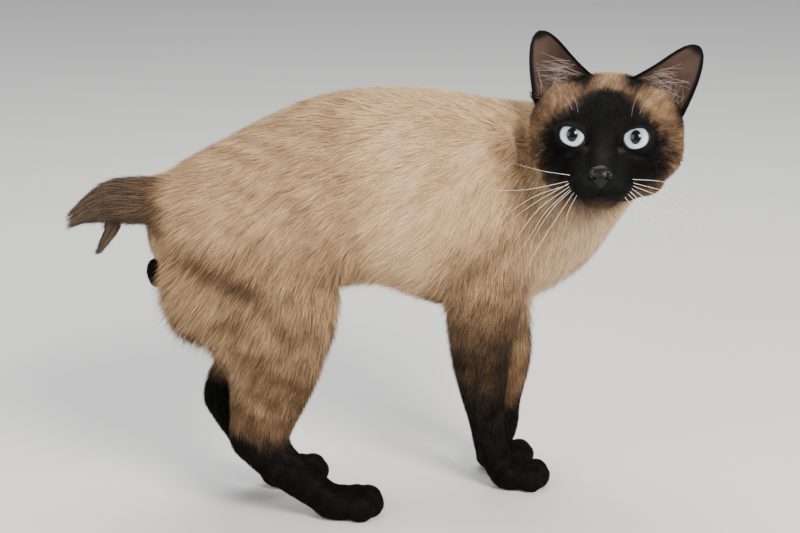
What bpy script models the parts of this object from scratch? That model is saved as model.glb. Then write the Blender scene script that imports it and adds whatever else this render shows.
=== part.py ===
"""A seal-point bobtail cat, life size, standing with its head turned over its right shoulder.

Metres, +Z up. The cat faces +X, its right flank is at -Y, and it stands on the plane z = 0.
The body is drawn about the point midway between the hind paws and is moved at the end so that the
middle of its bounding box is over the origin. All sizes are to the outside of the coat.
"""

import math
import random

import bmesh
import bpy
import numpy as np
from mathutils import Matrix, Vector
from mathutils.bvhtree import BVHTree

# How the cat is placed over the origin
BODY_SHIFT = Vector((-0.0366, 0.0334, 0.0))

# Fineness of the body's surface
BODY_VOXEL = 0.0016
BODY_TRIANGLES = 6800
SMOOTHING = 150
TRUNK_DETAIL = 3e-5
GAP = 0.0003

# Stance: where the paws stand, measured from midway between the hind paws
HIND_PAW_LENGTH = 0.047
HIND_PAW_WIDTH = 0.033
HIND_PAW_HEIGHT = 0.0225
FORE_PAW_LENGTH = 0.041
FORE_PAW_WIDTH = 0.030
FORE_PAW_HEIGHT = 0.0215

# Head: the point midway between the eyeballs, where the face looks, and its tilt
EYE_MIDPOINT = Vector((0.1636, -0.0844, 0.2611))
FACE_AZIMUTH = math.radians(-110.0)
FACE_ELEVATION = math.radians(10.0)
HEAD_ROLL = math.radians(-1.5)
EYE_SPREAD = 0.0198
EYE_RADIUS = 0.0108
LID_THICKNESS = 0.0014
EYE_DIVERGENCE = math.radians(7.0)
LID_OPENING_WIDTH = 0.0182
LID_OPENING_HEIGHT = 0.0146
LID_SLANT = math.radians(14.0)
NOSTRIL_RADIUS = 0.0016
EAR_THICKNESS = 0.0020
EAR_FULLNESS = 1.08
EAR_DEPTH = 0.0150
EAR_LEAN = 0.16
RIGHT_EAR = ((-0.024, -0.0105, 0.0365), (-0.030, -0.0455, 0.0205), (-0.036, -0.0465, 0.0640))
LEFT_EAR = ((-0.024, 0.0140, 0.0365), (-0.030, 0.0460, 0.0155), (-0.038, 0.0545, 0.0592))
MOUTH_GROOVE = 0.0009

# Where the legs part from the body: x and z of the cut at the midline, rear and front, its rise
# towards the flank, and the middle of the gap between the feet
HIND_CROTCH = ((-0.135, 0.1755), (0.050, 0.120))
FORE_CROTCH = ((0.055, 0.124), (0.190, 0.124))
HIND_MIDDLE = 0.004
FORE_MIDDLE = 0.0185
LEG_CUT_SLOPE = 0.84
LEG_CUT_REACH = 0.090
HEAD_CUT_POINT = (-0.045, -0.010, -0.015)
HEAD_CUT_NORMAL = (0.75, 0.25, 0.60)
SCROTUM_PLACE = (-0.1065, 0.0, 0.1675)

# Colour and roughness of the nodes whose names hold these words
COLOURS = (
    ("eye", (0.45, 0.58, 0.66), 0.08),
    ("nose", (0.020, 0.016, 0.015), 0.45),
    ("_ear", (0.050, 0.035, 0.028), 0.90),
    ("head", (0.060, 0.042, 0.032), 0.90),
    ("paw foot scrotum", (0.022, 0.016, 0.014), 0.90),
    ("shank forearm", (0.115, 0.078, 0.052), 0.90),
    ("tail", (0.130, 0.095, 0.068), 0.90),
    ("thigh upper", (0.330, 0.240, 0.165), 0.90),
    ("torso neck", (0.480, 0.370, 0.270), 0.90),
)

# Trunk from rump to chest: place of the centre, half width, reach up, reach down
TRUNK = (
    (-0.092, -0.006, 0.196, 0.034, 0.036, 0.046),
    (-0.074, -0.002, 0.200, 0.043, 0.045, 0.050),
    (-0.035, 0.002, 0.205, 0.047, 0.0585, 0.054),
    (0.005, 0.004, 0.210, 0.048, 0.0695, 0.060),
    (0.045, 0.004, 0.212, 0.051, 0.0725, 0.062),
    (0.080, 0.003, 0.206, 0.052, 0.074, 0.070),
    (0.112, 0.001, 0.200, 0.046, 0.072, 0.073),
    (0.138, -0.002, 0.198, 0.038, 0.062, 0.066),
)
NECK = (
    (0.108, 0.000, 0.208, 0.045, 0.065, 0.066),
    (0.139, -0.003, 0.212, 0.043, 0.064, 0.071),
    (0.160, -0.012, 0.221, 0.040, 0.055, 0.0565),
    (0.172, -0.030, 0.232, 0.036, 0.044, 0.0410),
    (0.173, -0.048, 0.242, 0.033, 0.037, 0.033),
)
# Tail: the core under the long hair, its kinked tip, and the locks of hair over both
TAIL = (
    (-0.092, -0.004, 0.216, 0.019, 0.018, 0.020),
    (-0.112, -0.004, 0.2165, 0.0150, 0.0162, 0.0160),
    (-0.124, -0.004, 0.2165, 0.0132, 0.0148, 0.0138),
    (-0.134, -0.004, 0.2155, 0.0098, 0.0115, 0.0105),
    (-0.144, -0.004, 0.2115, 0.0048, 0.0055, 0.0052),
)
TAIL_KINK = (
    (-0.130, -0.004, 0.2110, 0.0065, 0.0065, 0.0065),
    (-0.135, -0.004, 0.2030, 0.0050, 0.0050, 0.0050),
    (-0.139, -0.004, 0.1965, 0.0028, 0.0030, 0.0030),
)
# The outside of the long hair: the brush over the tail, and the tuft that hangs from the kink
BRUSH = (
    (-0.114, -0.004, 0.2165, 0.0150, 0.0162, 0.0158),
    (-0.124, -0.004, 0.2165, 0.0146, 0.0156, 0.0150),
    (-0.134, -0.004, 0.2165, 0.0138, 0.0145, 0.0140),
    (-0.144, -0.004, 0.2145, 0.0112, 0.0120, 0.0112),
    (-0.154, -0.004, 0.2098, 0.0072, 0.0082, 0.0068),
    (-0.1625, -0.004, 0.2048, 0.0020, 0.0022, 0.0020),
)
TUFT = (
    (-0.1310, -0.004, 0.2060, 0.0072, 0.0075, 0.0075),
    (-0.1365, -0.004, 0.1960, 0.0052, 0.0052, 0.0052),
    (-0.1430, -0.004, 0.1852, 0.0012, 0.0014, 0.0014),
)
# Rows of locks: x of their roots, x of their tips, and how many stand round the tail
BRUSH_ROWS = ((-0.1185, -0.1450, 8), (-0.1275, -0.1550, 7), (-0.1360, -0.1625, 5))
TUFT_ROWS = ((-0.1312, -0.1415, 5), (-0.1350, -0.1435, 3))
# Along a lock: how far towards the tip, how far out to the brush's outside, and its share of the width,
# for the first row and for the rows that come out from under it
FIRST_COURSE = ((0.0, 0.55, 0.80), (0.34, 0.95, 1.0), (0.70, 1.0, 0.74), (1.0, 1.0, 0.0))
UNDER_COURSE = ((0.0, 0.40, 0.80), (0.36, 0.70, 1.0), (0.72, 0.93, 0.74), (1.0, 1.0, 0.0))
LOCK_WIDTH = 0.0092
LOCK_THICKNESS = 0.0028
LOCK_SIDES = 4
TAIL_SPLIT = -0.1170
TAIL_SEED = 7


def clear_scene():
    """Removes whatever the file opened with."""
    for thing in list(bpy.data.objects):
        bpy.data.objects.remove(thing)


def link(name, mesh):
    """A new object of this mesh, in the scene."""
    thing = bpy.data.objects.new(name, mesh)
    bpy.context.scene.collection.objects.link(thing)
    return thing


def evaluated_copy(thing):
    """The mesh of an object with its modifiers applied."""
    graph = bpy.context.evaluated_depsgraph_get()
    graph.update()
    return bpy.data.meshes.new_from_object(thing.evaluated_get(graph), depsgraph=graph)


def apply_modifiers(thing):
    """Bakes an object's modifiers into its own mesh."""
    baked = evaluated_copy(thing)
    thing.modifiers.clear()
    old = thing.data
    thing.data = baked
    bpy.data.meshes.remove(old)


def through_stations(stations, steps):
    """Rows between the stations of a form, on a Catmull-Rom curve through them."""
    rows = np.array(stations, float)
    ends = np.vstack([2 * rows[0] - rows[1], rows, 2 * rows[-1] - rows[-2]])
    found = []
    for i in range(len(rows) - 1):
        a, b, c, d = ends[i : i + 4]
        for t in np.arange(steps) / steps:
            found.append(
                0.5 * (2 * b + (c - a) * t + (2 * a - 5 * b + 4 * c - d) * t**2
                       + (3 * b - a - 3 * c + d) * t**3)
            )
    found.append(rows[-1])
    return np.array(found)


def loft(name, stations, up, steps=4, sides=28, cap=0.6, to_world=None, keel=2.0, crest=2.0):
    """A closed form through elliptical rings. Each station is a centre, a half width, and the reach
    towards `up` and away from it. The ends are rounded off over `cap` of the end ring's size.
    A `keel` under 2 draws the lower half of each ring in towards a ridge, and a `crest` over 2
    flattens the upper half."""
    rows = through_stations(stations, steps)
    centres = [Vector(row[:3]) for row in rows]
    ahead = [(centres[min(i + 1, len(rows) - 1)] - centres[max(i - 1, 0)]).normalized()
             for i in range(len(rows))]
    up = Vector(up)
    rounding = [0.35, 0.7, 0.92]
    rings = []
    for outward, i in ((-1, 0), (1, len(rows) - 1)):
        size = min(rows[i][3:6]) * cap
        for part in rounding:
            rings.append((centres[i] + ahead[i] * outward * size * math.sqrt(1 - part * part),
                          ahead[i], rows[i][3:6] * part, i, outward, part))
    body = [(centres[i], ahead[i], rows[i][3:6]) for i in range(len(rows))]
    start = [(ring[0], ring[1], ring[2]) for ring in rings[:3]]
    finish = [(ring[0], ring[1], ring[2]) for ring in reversed(rings[3:])]
    shape = bmesh.new()
    loops = []
    for centre, forward, (half_width, rise, drop) in start + body + finish:
        across = up.cross(forward).normalized()
        lift = forward.cross(across)
        loop = []
        for k in range(sides):
            angle = 2 * math.pi * k / sides
            wide, high = math.cos(angle), math.sin(angle)
            power = 2 / (keel if high < 0 else crest)
            wide = math.copysign(abs(wide) ** power, wide)
            high = math.copysign(abs(high) ** power, high)
            reach = rise if high > 0 else drop
            point = centre + across * half_width * wide + lift * reach * high
            loop.append(shape.verts.new(to_world @ point if to_world else point))
        loops.append(loop)
    for first, second in zip(loops, loops[1:]):
        for k in range(sides):
            shape.faces.new((first[k], first[(k + 1) % sides], second[(k + 1) % sides], second[k]))
    shape.faces.new(list(reversed(loops[0])))
    shape.faces.new(loops[-1])
    bmesh.ops.recalc_face_normals(shape, faces=shape.faces)
    mesh = bpy.data.meshes.new(name)
    shape.to_mesh(mesh)
    shape.free()
    return link(name, mesh)


def ball(name, centre, radii, to_world=None, turn=None, detail=24):
    """An ellipsoid, turned about its own centre by `turn`."""
    shape = bmesh.new()
    bmesh.ops.create_uvsphere(shape, u_segments=detail, v_segments=detail * 2 // 3, radius=1.0)
    matrix = Matrix.Translation(centre) @ (turn or Matrix.Identity(4)) @ Matrix.Diagonal((*radii, 1))
    shape.transform((to_world or Matrix.Identity(4)) @ matrix)
    mesh = bpy.data.meshes.new(name)
    shape.to_mesh(mesh)
    shape.free()
    return link(name, mesh)


def head_frame():
    """The matrix from the head's own axes (x along the gaze, y to its left, z up) to the cat's."""
    forward = Vector((math.cos(FACE_ELEVATION) * math.cos(FACE_AZIMUTH),
                      math.cos(FACE_ELEVATION) * math.sin(FACE_AZIMUTH),
                      math.sin(FACE_ELEVATION)))
    left = Vector((0, 0, 1)).cross(forward).normalized()
    up = forward.cross(left)
    turned = Matrix.Rotation(HEAD_ROLL, 3, forward)
    left, up = turned @ left, turned @ up
    matrix = Matrix((forward, left, up)).transposed().to_4x4()
    matrix.translation = EYE_MIDPOINT
    return matrix


def paw(name, heel, heading, length, width, height):
    """The furred pad and four toes of a paw that stands flat, from under the wrist forwards."""
    turn = Matrix.Rotation(heading, 4, "Z")
    place = Matrix.Translation(heel) @ turn
    forms = [ball(name + "_pad", (0.40 * length, 0, 0.44 * height),
                  (0.42 * length, 0.46 * width, 0.54 * height), place)]
    toes = ((-0.36, 0.66, 0.90), (-0.13, 0.80, 1.0), (0.13, 0.80, 1.0), (0.36, 0.66, 0.90))
    for number, (side, ahead, size) in enumerate(toes):
        forms.append(ball(f"{name}_toe_{number}", (ahead * length, side * width, 0.43 * height * size),
                          (0.24 * length * size, 0.165 * width * size + 0.001, 0.50 * height * size), place))
    return forms


def hind_leg(name, side, y, hock, knee_ahead, paw_x, heading):
    """Thigh, shank and long hind foot. `side` is -1 for the right, `hock` is the x and z of the heel,
    and `knee_ahead` moves the knee forwards."""
    hock_x, hock_z = hock
    knee = 0.5 * (hock_x + 0.057)
    leg = (
        (-0.068, side * 0.022, 0.212, 0.022, 0.036, 0.038),
        (-0.060 + 0.2 * knee_ahead, side * 0.027, 0.190, 0.0245, 0.048, 0.053),
        (-0.051 + 0.5 * knee_ahead, side * 0.031, 0.165, 0.0240, 0.067, 0.059),
        (-0.039 + 0.5 * knee + 0.9 * knee_ahead, side * 0.032, 0.138, 0.0210, 0.053, 0.045),
        (-0.034 + knee + knee_ahead, 0.2 * side * 0.033 + 0.8 * y, 0.110, 0.0175, 0.0350, 0.036),
        (hock_x + 0.019 + 0.45 * knee_ahead, y, hock_z + 0.025, 0.0142, 0.0285, 0.0250 - 0.3 * knee_ahead),
        (hock_x + 0.0125, y, hock_z + 0.004, 0.0118, 0.0235, 0.0195),
        (hock_x + 0.0110, y, hock_z - 0.008, 0.0104, 0.0180, 0.0160),
    )
    start = Vector((hock_x, y, hock_z))
    along = Vector((paw_x - 0.012 - hock_x, 0, 0.0125 - hock_z))
    foot = [
        (*(start + along * part), half_width, rise, drop)
        for part, half_width, rise, drop in (
            (0.02, 0.0100, 0.0135, 0.0100),
            (0.22, 0.0116, 0.0205, 0.0122),
            (0.50, 0.0116, 0.0150, 0.0142),
            (0.78, 0.0125, 0.0108, 0.0142),
            (1.00, 0.0140, 0.0080, 0.0130),
        )
    ]
    forms = [loft(name + "_leg", leg, (1, 0, 0)), loft(name + "_foot", foot, (0, 0, 1))]
    heel = Vector((paw_x - 0.027, y, 0))
    forms += paw(name + "_paw", heel, heading, HIND_PAW_LENGTH, HIND_PAW_WIDTH, HIND_PAW_HEIGHT)
    return forms


def fore_leg(name, side, paw_place, ahead, heading):
    """Shoulder, upper arm and forearm down to the wrist and paw. `ahead` moves the elbow forwards."""
    x, y = paw_place
    leg = (
        (0.102 + 0.6 * ahead, side * 0.024, 0.228, 0.020, 0.030, 0.030),
        (0.105 + 0.7 * ahead, side * 0.029, 0.200, 0.022, 0.038, 0.036),
        (0.103 + 0.8 * ahead, side * 0.031, 0.170, 0.021, 0.037, 0.033),
        (0.102 + 0.9 * ahead, side * 0.028 + 0.10 * y, 0.142, 0.0185, 0.030, 0.028),
        (0.1035 + 1.0 * ahead, side * 0.018 + 0.35 * y, 0.113, 0.0165, 0.0235, 0.0235),
        (0.1075 + 1.0 * ahead, side * 0.009 + 0.65 * y, 0.082, 0.0140, 0.0185, 0.0190),
        (0.1120 + 0.80 * ahead, side * 0.003 + 0.9 * y, 0.052, 0.0118, 0.0130, 0.0135),
        (0.1160 + 0.62 * ahead, y, 0.032, 0.0118, 0.0120, 0.0120),
        (x - 0.008, y, 0.013, 0.0125, 0.0120, 0.0110),
    )
    forms = [loft(name + "_leg", leg, (1, 0, 0))]
    heel = Vector((x - 0.017, y, 0))
    forms += paw(name + "_paw", heel, heading, FORE_PAW_LENGTH, FORE_PAW_WIDTH, FORE_PAW_HEIGHT)
    return forms


def head_forms(to_world):
    """Skull, cheeks, brows, bridge, whisker pads, lids and chin, in the head's own axes."""
    skull = (
        (-0.064, 0, 0.000, 0.029, 0.026, 0.030),
        (-0.052, 0, 0.000, 0.040, 0.0385, 0.038),
        (-0.036, 0, 0.000, 0.0485, 0.0415, 0.043),
        (-0.021, 0, 0.000, 0.0502, 0.0375, 0.0440),
        (-0.009, 0, -0.001, 0.0440, 0.0290, 0.0420),
        (-0.001, 0, -0.003, 0.0345, 0.0200, 0.037),
        (0.003, 0, -0.005, 0.0250, 0.0130, 0.031),
    )
    muzzle = (
        (-0.012, 0, -0.018, 0.0340, 0.0180, 0.0220),
        (0.002, 0, -0.020, 0.0275, 0.0155, 0.0210),
        (0.012, 0, -0.0235, 0.0220, 0.0145, 0.0178),
        (0.021, 0, -0.0260, 0.0180, 0.0108, 0.0142),
        (0.028, 0, -0.0275, 0.0115, 0.0065, 0.0092),
    )
    bridge = (
        (-0.013, 0, 0.0200, 0.0150, 0.0110, 0.012),
        (0.000, 0, 0.0085, 0.0115, 0.0085, 0.012),
        (0.010, 0, -0.0030, 0.0092, 0.0068, 0.012),
        (0.0190, 0, -0.0120, 0.0080, 0.0060, 0.010),
        (0.0265, 0, -0.0190, 0.0070, 0.0052, 0.008),
    )
    forms = [
        loft("skull", skull, (0, 0, 1), to_world=to_world, keel=1.5, crest=2.4, cap=0.3),
        loft("muzzle", muzzle, (0, 0, 1), to_world=to_world),
        loft("bridge", bridge, (0, 0, 1), to_world=to_world),
        ball("chin", (0.0175, 0, -0.0375), (0.0115, 0.0122, 0.0070), to_world),
    ]
    for side in (-1, 1):
        forms += [
            ball("pad", (0.0208, side * 0.0088, -0.0290), (0.0118, 0.0108, 0.0088), to_world),
            ball("jaw", (0.0010, side * 0.0135, -0.0275), (0.0200, 0.0140, 0.0125), to_world),
            ball("jowl", (-0.0080, side * 0.0245, -0.0255), (0.0200, 0.0150, 0.0115), to_world),
            ball("cheek", (-0.022, side * 0.0285, -0.0060), (0.0240, 0.0222, 0.0225), to_world),
            ball("brow", (-0.003, side * 0.0185, 0.0120), (0.0105, 0.0145, 0.0080), to_world),
            ball("orbit", (-0.0045, side * 0.0210, -0.001), (0.0120, 0.0165, 0.0150), to_world),
            ball("lids", (0.0, side * EYE_SPREAD, 0.0), (EYE_RADIUS + LID_THICKNESS,) * 3, to_world),
        ]
    return forms


def ear(name, side, inner_base, outer_base, tip, to_world):
    """A cupped ear with a wall of even thickness, its root sunk in the skull."""
    rows, columns = 11, 8
    inner_base, outer_base, tip = Vector(inner_base), Vector(outer_base), Vector(tip)
    middle = (inner_base + outer_base) / 2
    rise, span = tip - middle, outer_base - inner_base
    back = span.cross(rise).normalized()
    back = back if back.x < 0 else -back
    shape = bmesh.new()
    sheets = []
    for inward in (0, 1):
        grid = []
        for i in range(rows + 1):
            step = i / rows
            v = -0.32 + 0.32 * step / 0.2 if step < 0.2 else 1 - ((1 - step) / 0.8) ** 1.6
            up = max(v, 0.0)
            width = max(EAR_FULLNESS * math.sqrt(1 - up**1.1), 0.05)
            line = []
            for j in range(columns + 1):
                u = j / columns
                arch = 1 - (2 * u - 1) ** 2
                lean = 1 - EAR_LEAN * 4 * up * (1 - up) * (u < 0.5)
                point = middle + rise * v + span * ((u - 0.5) * width * lean)
                point += back * EAR_DEPTH * (1 - up) ** 0.75 * arch**0.8
                if inward:
                    point -= back * EAR_THICKNESS * (0.6 + 0.4 * arch)
                line.append(shape.verts.new(to_world @ point))
            grid.append(line)
        sheets.append(grid)
    for grid in sheets:
        for i in range(rows):
            for j in range(columns):
                low, low_next, high, high_next = grid[i][j], grid[i][j + 1], grid[i + 1][j], grid[i + 1][j + 1]
                shape.faces.new((low, low_next, high_next))
                shape.faces.new((low, high_next, high))
    outer, inner = sheets
    rim = ([(i, 0) for i in range(rows)] + [(rows, j) for j in range(columns)]
           + [(i, columns) for i in range(rows, 0, -1)] + [(0, j) for j in range(columns, 0, -1)])
    for (i, j), (k, m) in zip(rim, rim[1:] + rim[:1]):
        shape.faces.new((outer[i][j], outer[k][m], inner[k][m]))
        shape.faces.new((outer[i][j], inner[k][m], inner[i][j]))
    bmesh.ops.recalc_face_normals(shape, faces=shape.faces)
    mesh = bpy.data.meshes.new(name)
    shape.to_mesh(mesh)
    shape.free()
    return link(name, mesh)


def nose_pad(name, to_world, grow=0.0):
    """The leather of the nose, wide above and narrow below, thicker all round by `grow`."""
    stations = (
        (0.0283, 0, -0.0292 - grow, 0.0020, 0.0022, 0.0060),
        (0.0296, 0, -0.0264, 0.0043, 0.0030, 0.0065),
        (0.0300, 0, -0.0232, 0.0066, 0.0035, 0.0065),
        (0.0291, 0, -0.0200, 0.0064, 0.0033, 0.0065),
        (0.0274, 0, -0.0180 + grow, 0.0046, 0.0026, 0.0060),
    )
    grown = [(x, y, z, width + grow, rise + grow, drop + grow) for x, y, z, width, rise, drop in stations]
    return loft(name, grown, (1, 0, 0), sides=12, steps=1, cap=0.5, to_world=to_world)


def nearness(points, centre, inner, outer):
    """1 within `inner` of a place, falling to 0 at `outer`."""
    far = np.linalg.norm(points - np.array(centre), axis=1)
    return np.clip((outer - far) / (outer - inner), 0, 1)


def fade(values, low, high):
    """0 at `low`, rising to 1 at `high`."""
    return np.clip((values - low) / (high - low), 0, 1)


def points_of(mesh):
    """The corners of a mesh as an array."""
    points = np.empty(len(mesh.vertices) * 3)
    mesh.vertices.foreach_get("co", points)
    return points.reshape(-1, 3)


def weigh(thing, name, weights, levels=20):
    """A vertex group with these weights, to the nearest of a few levels."""
    group = thing.vertex_groups.new(name=name)
    steps = np.round(weights * levels).astype(int)
    for step in range(1, levels + 1):
        group.add(np.flatnonzero(steps == step).tolist(), step / levels, "REPLACE")
    return group.name


def softness(points, to_world):
    """How far the skin is smoothed at each point: most on the trunk, least on the face and toes."""
    local = points @ np.array(to_world.inverted().to_3x3()).T + np.array(to_world.inverted().translation)
    soft = np.ones(len(points))
    soft = np.minimum(soft, 0.30 + 0.70 * fade(points[:, 2], 0.135, 0.165))
    soft = np.minimum(soft, 0.06 + 0.24 * fade(points[:, 2], 0.028, 0.045) + 0.70 * fade(points[:, 2], 0.14, 0.165))
    soft = np.minimum(soft, 0.15 + 0.85 * fade(points[:, 0], -0.118, -0.100))
    head = nearness(local, (-0.015, 0, -0.004), 0.054, 0.072)
    soft = np.minimum(soft, 1 - 0.82 * head)
    face = np.minimum(fade(local[:, 0], -0.008, 0.006), head)
    return np.minimum(soft, 1 - 0.91 * face)


def whole_body():
    """Every form of flesh merged into one smooth skin that stands flat on the floor."""
    to_world = head_frame()
    forms = [loft("trunk", TRUNK, (0, 0, 1)), loft("neck", NECK, (0, 0, 1)),
             loft("tail", TAIL, (0, 0, 1)), loft("tail_kink", TAIL_KINK, (1, 0, 0))]
    forms += hind_leg("right_hind", -1, -0.0265, (-0.0615, 0.0600), 0.0, 0.014, math.radians(-4))
    forms += hind_leg("left_hind", 1, 0.034, (-0.0710, 0.071), 0.014, -0.012, math.radians(4))
    forms += fore_leg("right_fore", -1, (0.1325, 0.000), 0.0, math.radians(-6))
    forms += fore_leg("left_fore", 1, (0.1320, 0.036), 0.028, math.radians(2))
    forms += head_forms(to_world)
    shape = bmesh.new()
    for form in forms:
        shape.from_mesh(form.data)
        bpy.data.objects.remove(form)
    mesh = bpy.data.meshes.new("body")
    shape.to_mesh(mesh)
    shape.free()
    body = link("body", mesh)
    remesh = body.modifiers.new("merge", "REMESH")
    remesh.mode = "VOXEL"
    remesh.voxel_size = BODY_VOXEL
    apply_modifiers(body)
    smooth = body.modifiers.new("soften", "SMOOTH")
    smooth.factor = 0.5
    smooth.iterations = SMOOTHING
    smooth.vertex_group = weigh(body, "soft", softness(points_of(body.data), to_world))
    apply_modifiers(body)
    return body


def thin_out(body, triangles):
    """Fewer triangles, shared out so that the trunk keeps a round outline."""
    points = points_of(body.data)
    coarse = 1.0 - 0.95 * fade(softness(points, head_frame()), 0.05, 0.60)
    body.data.calc_loop_triangles()
    decimate = body.modifiers.new("thin_out", "DECIMATE")
    decimate.ratio = triangles / len(body.data.loop_triangles)
    decimate.use_collapse_triangulate = True
    decimate.vertex_group = weigh(body, "coarse", coarse)
    decimate.vertex_group_factor = TRUNK_DETAIL
    apply_modifiers(body)


def boolean(thing, operation, other):
    """Applies one Boolean operation to an object's mesh, and removes the other object."""
    modifier = thing.modifiers.new("boolean", "BOOLEAN")
    modifier.operation = operation
    modifier.object = other
    modifier.solver = "EXACT"
    apply_modifiers(thing)
    bpy.data.objects.remove(other)


def lock(name, course, outward, width):
    """A flat lock of hair along `course`, a list of places and shares of its width that ends at the tip."""
    outward = Vector(outward).normalized()
    shape = bmesh.new()
    rings = []
    for (centre, share), (following, _) in zip(course, course[1:]):
        across = (following - centre).cross(outward).normalized()
        lift = across.cross(following - centre).normalized()
        ring = []
        for k in range(LOCK_SIDES):
            angle = 2 * math.pi * k / LOCK_SIDES
            ring.append(shape.verts.new(centre + across * math.cos(angle) * share * width / 2
                                        + lift * math.sin(angle) * share * LOCK_THICKNESS / 2))
        rings.append(ring)
    tip = shape.verts.new(course[-1][0])
    for first, second in zip(rings, rings[1:]):
        for k in range(LOCK_SIDES):
            following = (k + 1) % LOCK_SIDES
            shape.faces.new((first[k], first[following], second[following]))
            shape.faces.new((first[k], second[following], second[k]))
    for k in range(LOCK_SIDES):
        shape.faces.new((rings[-1][k], rings[-1][(k + 1) % LOCK_SIDES], tip))
    for k in range(1, LOCK_SIDES - 1):
        shape.faces.new((rings[0][0], rings[0][k + 1], rings[0][k]))
    bmesh.ops.recalc_face_normals(shape, faces=shape.faces)
    mesh = bpy.data.meshes.new(name)
    shape.to_mesh(mesh)
    shape.free()
    return link(name, mesh)


def hair_place(table, up, x, angle, share):
    """The place at this x and this turn round the tail, a share of the way out to the hair's outside."""
    rows = through_stations(table, 12)
    row = rows[np.argmin(np.abs(rows[:, 0] - x))]
    height = math.sin(angle)
    reach = row[4] if height > 0 else row[5]
    return Vector(row[:3]) + Vector((0, math.cos(angle) * row[3] * share, 0)) + up * height * reach * share


def tail_locks():
    """Overlapping rows of locks round the tail, and the tuft under its kink."""
    rng = random.Random(TAIL_SEED)
    locks = []
    for table, rows, up in ((BRUSH, BRUSH_ROWS, Vector((0, 0, 1))), (TUFT, TUFT_ROWS, Vector((-1, 0, 0)))):
        for number, (root, tip, count) in enumerate(rows):
            for k in range(count):
                angle = 2 * math.pi * (k + 0.5 * (number % 2) + rng.uniform(-0.12, 0.12)) / count
                end = tip + (root - tip) * rng.uniform(-0.04, 0.16)
                course = [(hair_place(table, up, root + (end - root) * part, angle, out), share)
                          for part, out, share in (UNDER_COURSE if number else FIRST_COURSE)]
                outward = Vector((0, math.cos(angle), 0)) + up * math.sin(angle)
                locks.append(lock("lock", course, outward, LOCK_WIDTH * rng.uniform(0.85, 1.1)))
    return locks


def join_locks(tail, locks):
    """Fuses the locks with the tail in one union."""
    bundle = bpy.data.collections.new("locks")
    for item in locks:
        bundle.objects.link(item)
    modifier = tail.modifiers.new("fuse", "BOOLEAN")
    modifier.operation = "UNION"
    modifier.operand_type = "COLLECTION"
    modifier.collection = bundle
    modifier.solver = "EXACT"
    apply_modifiers(tail)
    for item in locks:
        bpy.data.objects.remove(item)
    bpy.data.collections.remove(bundle)
    keep_largest(tail)


def keep_largest(thing):
    """Drops every loose piece but the largest."""
    shape = bmesh.new()
    shape.from_mesh(thing.data)
    shape.verts.ensure_lookup_table()
    seen, pieces = set(), []
    for start in shape.verts:
        if start in seen:
            continue
        seen.add(start)
        piece, edge = [start], [start]
        while edge:
            vertex = edge.pop()
            for link_edge in vertex.link_edges:
                other = link_edge.other_vert(vertex)
                if other not in seen:
                    seen.add(other)
                    piece.append(other)
                    edge.append(other)
        pieces.append(piece)
    pieces.sort(key=len)
    for piece in pieces[:-1]:
        bmesh.ops.delete(shape, geom=piece, context="VERTS")
    shape.to_mesh(thing.data)
    shape.free()


def duplicate(thing, name):
    """A copy of an object with its own mesh."""
    return link(name, thing.data.copy())


def prism(name, first, last):
    """A closed block between two outlines of as many corners each."""
    shape = bmesh.new()
    ends = [[shape.verts.new(corner) for corner in outline] for outline in (first, last)]
    count = len(first)
    for end in ends:
        for k in range(1, count - 1):
            shape.faces.new((end[0], end[k], end[k + 1]))
    for k in range(count):
        following = (k + 1) % count
        shape.faces.new((ends[0][k], ends[0][following], ends[1][following]))
        shape.faces.new((ends[0][k], ends[1][following], ends[1][k]))
    bmesh.ops.recalc_face_normals(shape, faces=shape.faces)
    mesh = bpy.data.meshes.new(name)
    shape.to_mesh(mesh)
    shape.free()
    return link(name, mesh)


def half_space(name, point, normal, gap):
    """A big block on the side of a plane that the normal points to, `gap` clear of the plane."""
    normal = Vector(normal).normalized()
    shape = bmesh.new()
    bmesh.ops.create_cube(shape, size=1.0)
    turn = normal.to_track_quat("Z", "Y").to_matrix().to_4x4()
    shape.transform(Matrix.Translation(Vector(point) + normal * gap) @ turn
                    @ Matrix.Translation((0, 0, 0.5)) @ Matrix.Diagonal((1, 1, 1, 1)))
    mesh = bpy.data.meshes.new(name)
    shape.to_mesh(mesh)
    shape.free()
    return link(name, mesh)


def split(thing, point, normal, ahead, behind):
    """Parts an object by a thin cut across a plane. The piece that the normal points to is `ahead`."""
    front, back = duplicate(thing, ahead), duplicate(thing, behind)
    bpy.data.objects.remove(thing)
    boolean(front, "DIFFERENCE", half_space("cutter", point, -Vector(normal), -GAP / 2))
    boolean(back, "DIFFERENCE", half_space("cutter", point, normal, -GAP / 2))
    keep_largest(front)
    keep_largest(back)
    return front, back


def leg_region(side, crotch, middle, grow):
    """The block that holds one leg: under a plane that rises outwards from the body's midline, and on
    its own side of the gap between the feet. `crotch` gives the x and z of the plane at both ends."""
    ends = []
    for (x, z), outward in zip(crotch, (-1, 1)):
        rise = LEG_CUT_SLOPE * LEG_CUT_REACH
        corners = [(-grow * side, z + grow), (side * LEG_CUT_REACH, z + rise + grow),
                   (side * LEG_CUT_REACH, -0.02), (middle - grow * side, -0.02)]
        ends.append([(x + outward * grow, y, height) for y, height in corners])
    return prism("region", *ends)


def tail_region(grow):
    """The block that holds the tail."""
    outline = [(-0.110 + grow, 0.270), (-0.110 + grow, 0.196 - grow), (-0.132, 0.172 - grow),
               (-0.200, 0.150), (-0.200, 0.270)]
    return prism("region", [(x, -0.05, z) for x, z in outline], [(x, 0.05, z) for x, z in outline])


def take(body, name, region, wider_region):
    """Takes a piece off the body, with a thin gap between the two."""
    piece = duplicate(body, name)
    boolean(piece, "INTERSECT", region)
    boolean(body, "DIFFERENCE", wider_region)
    keep_largest(piece)
    keep_largest(body)
    return piece


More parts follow.
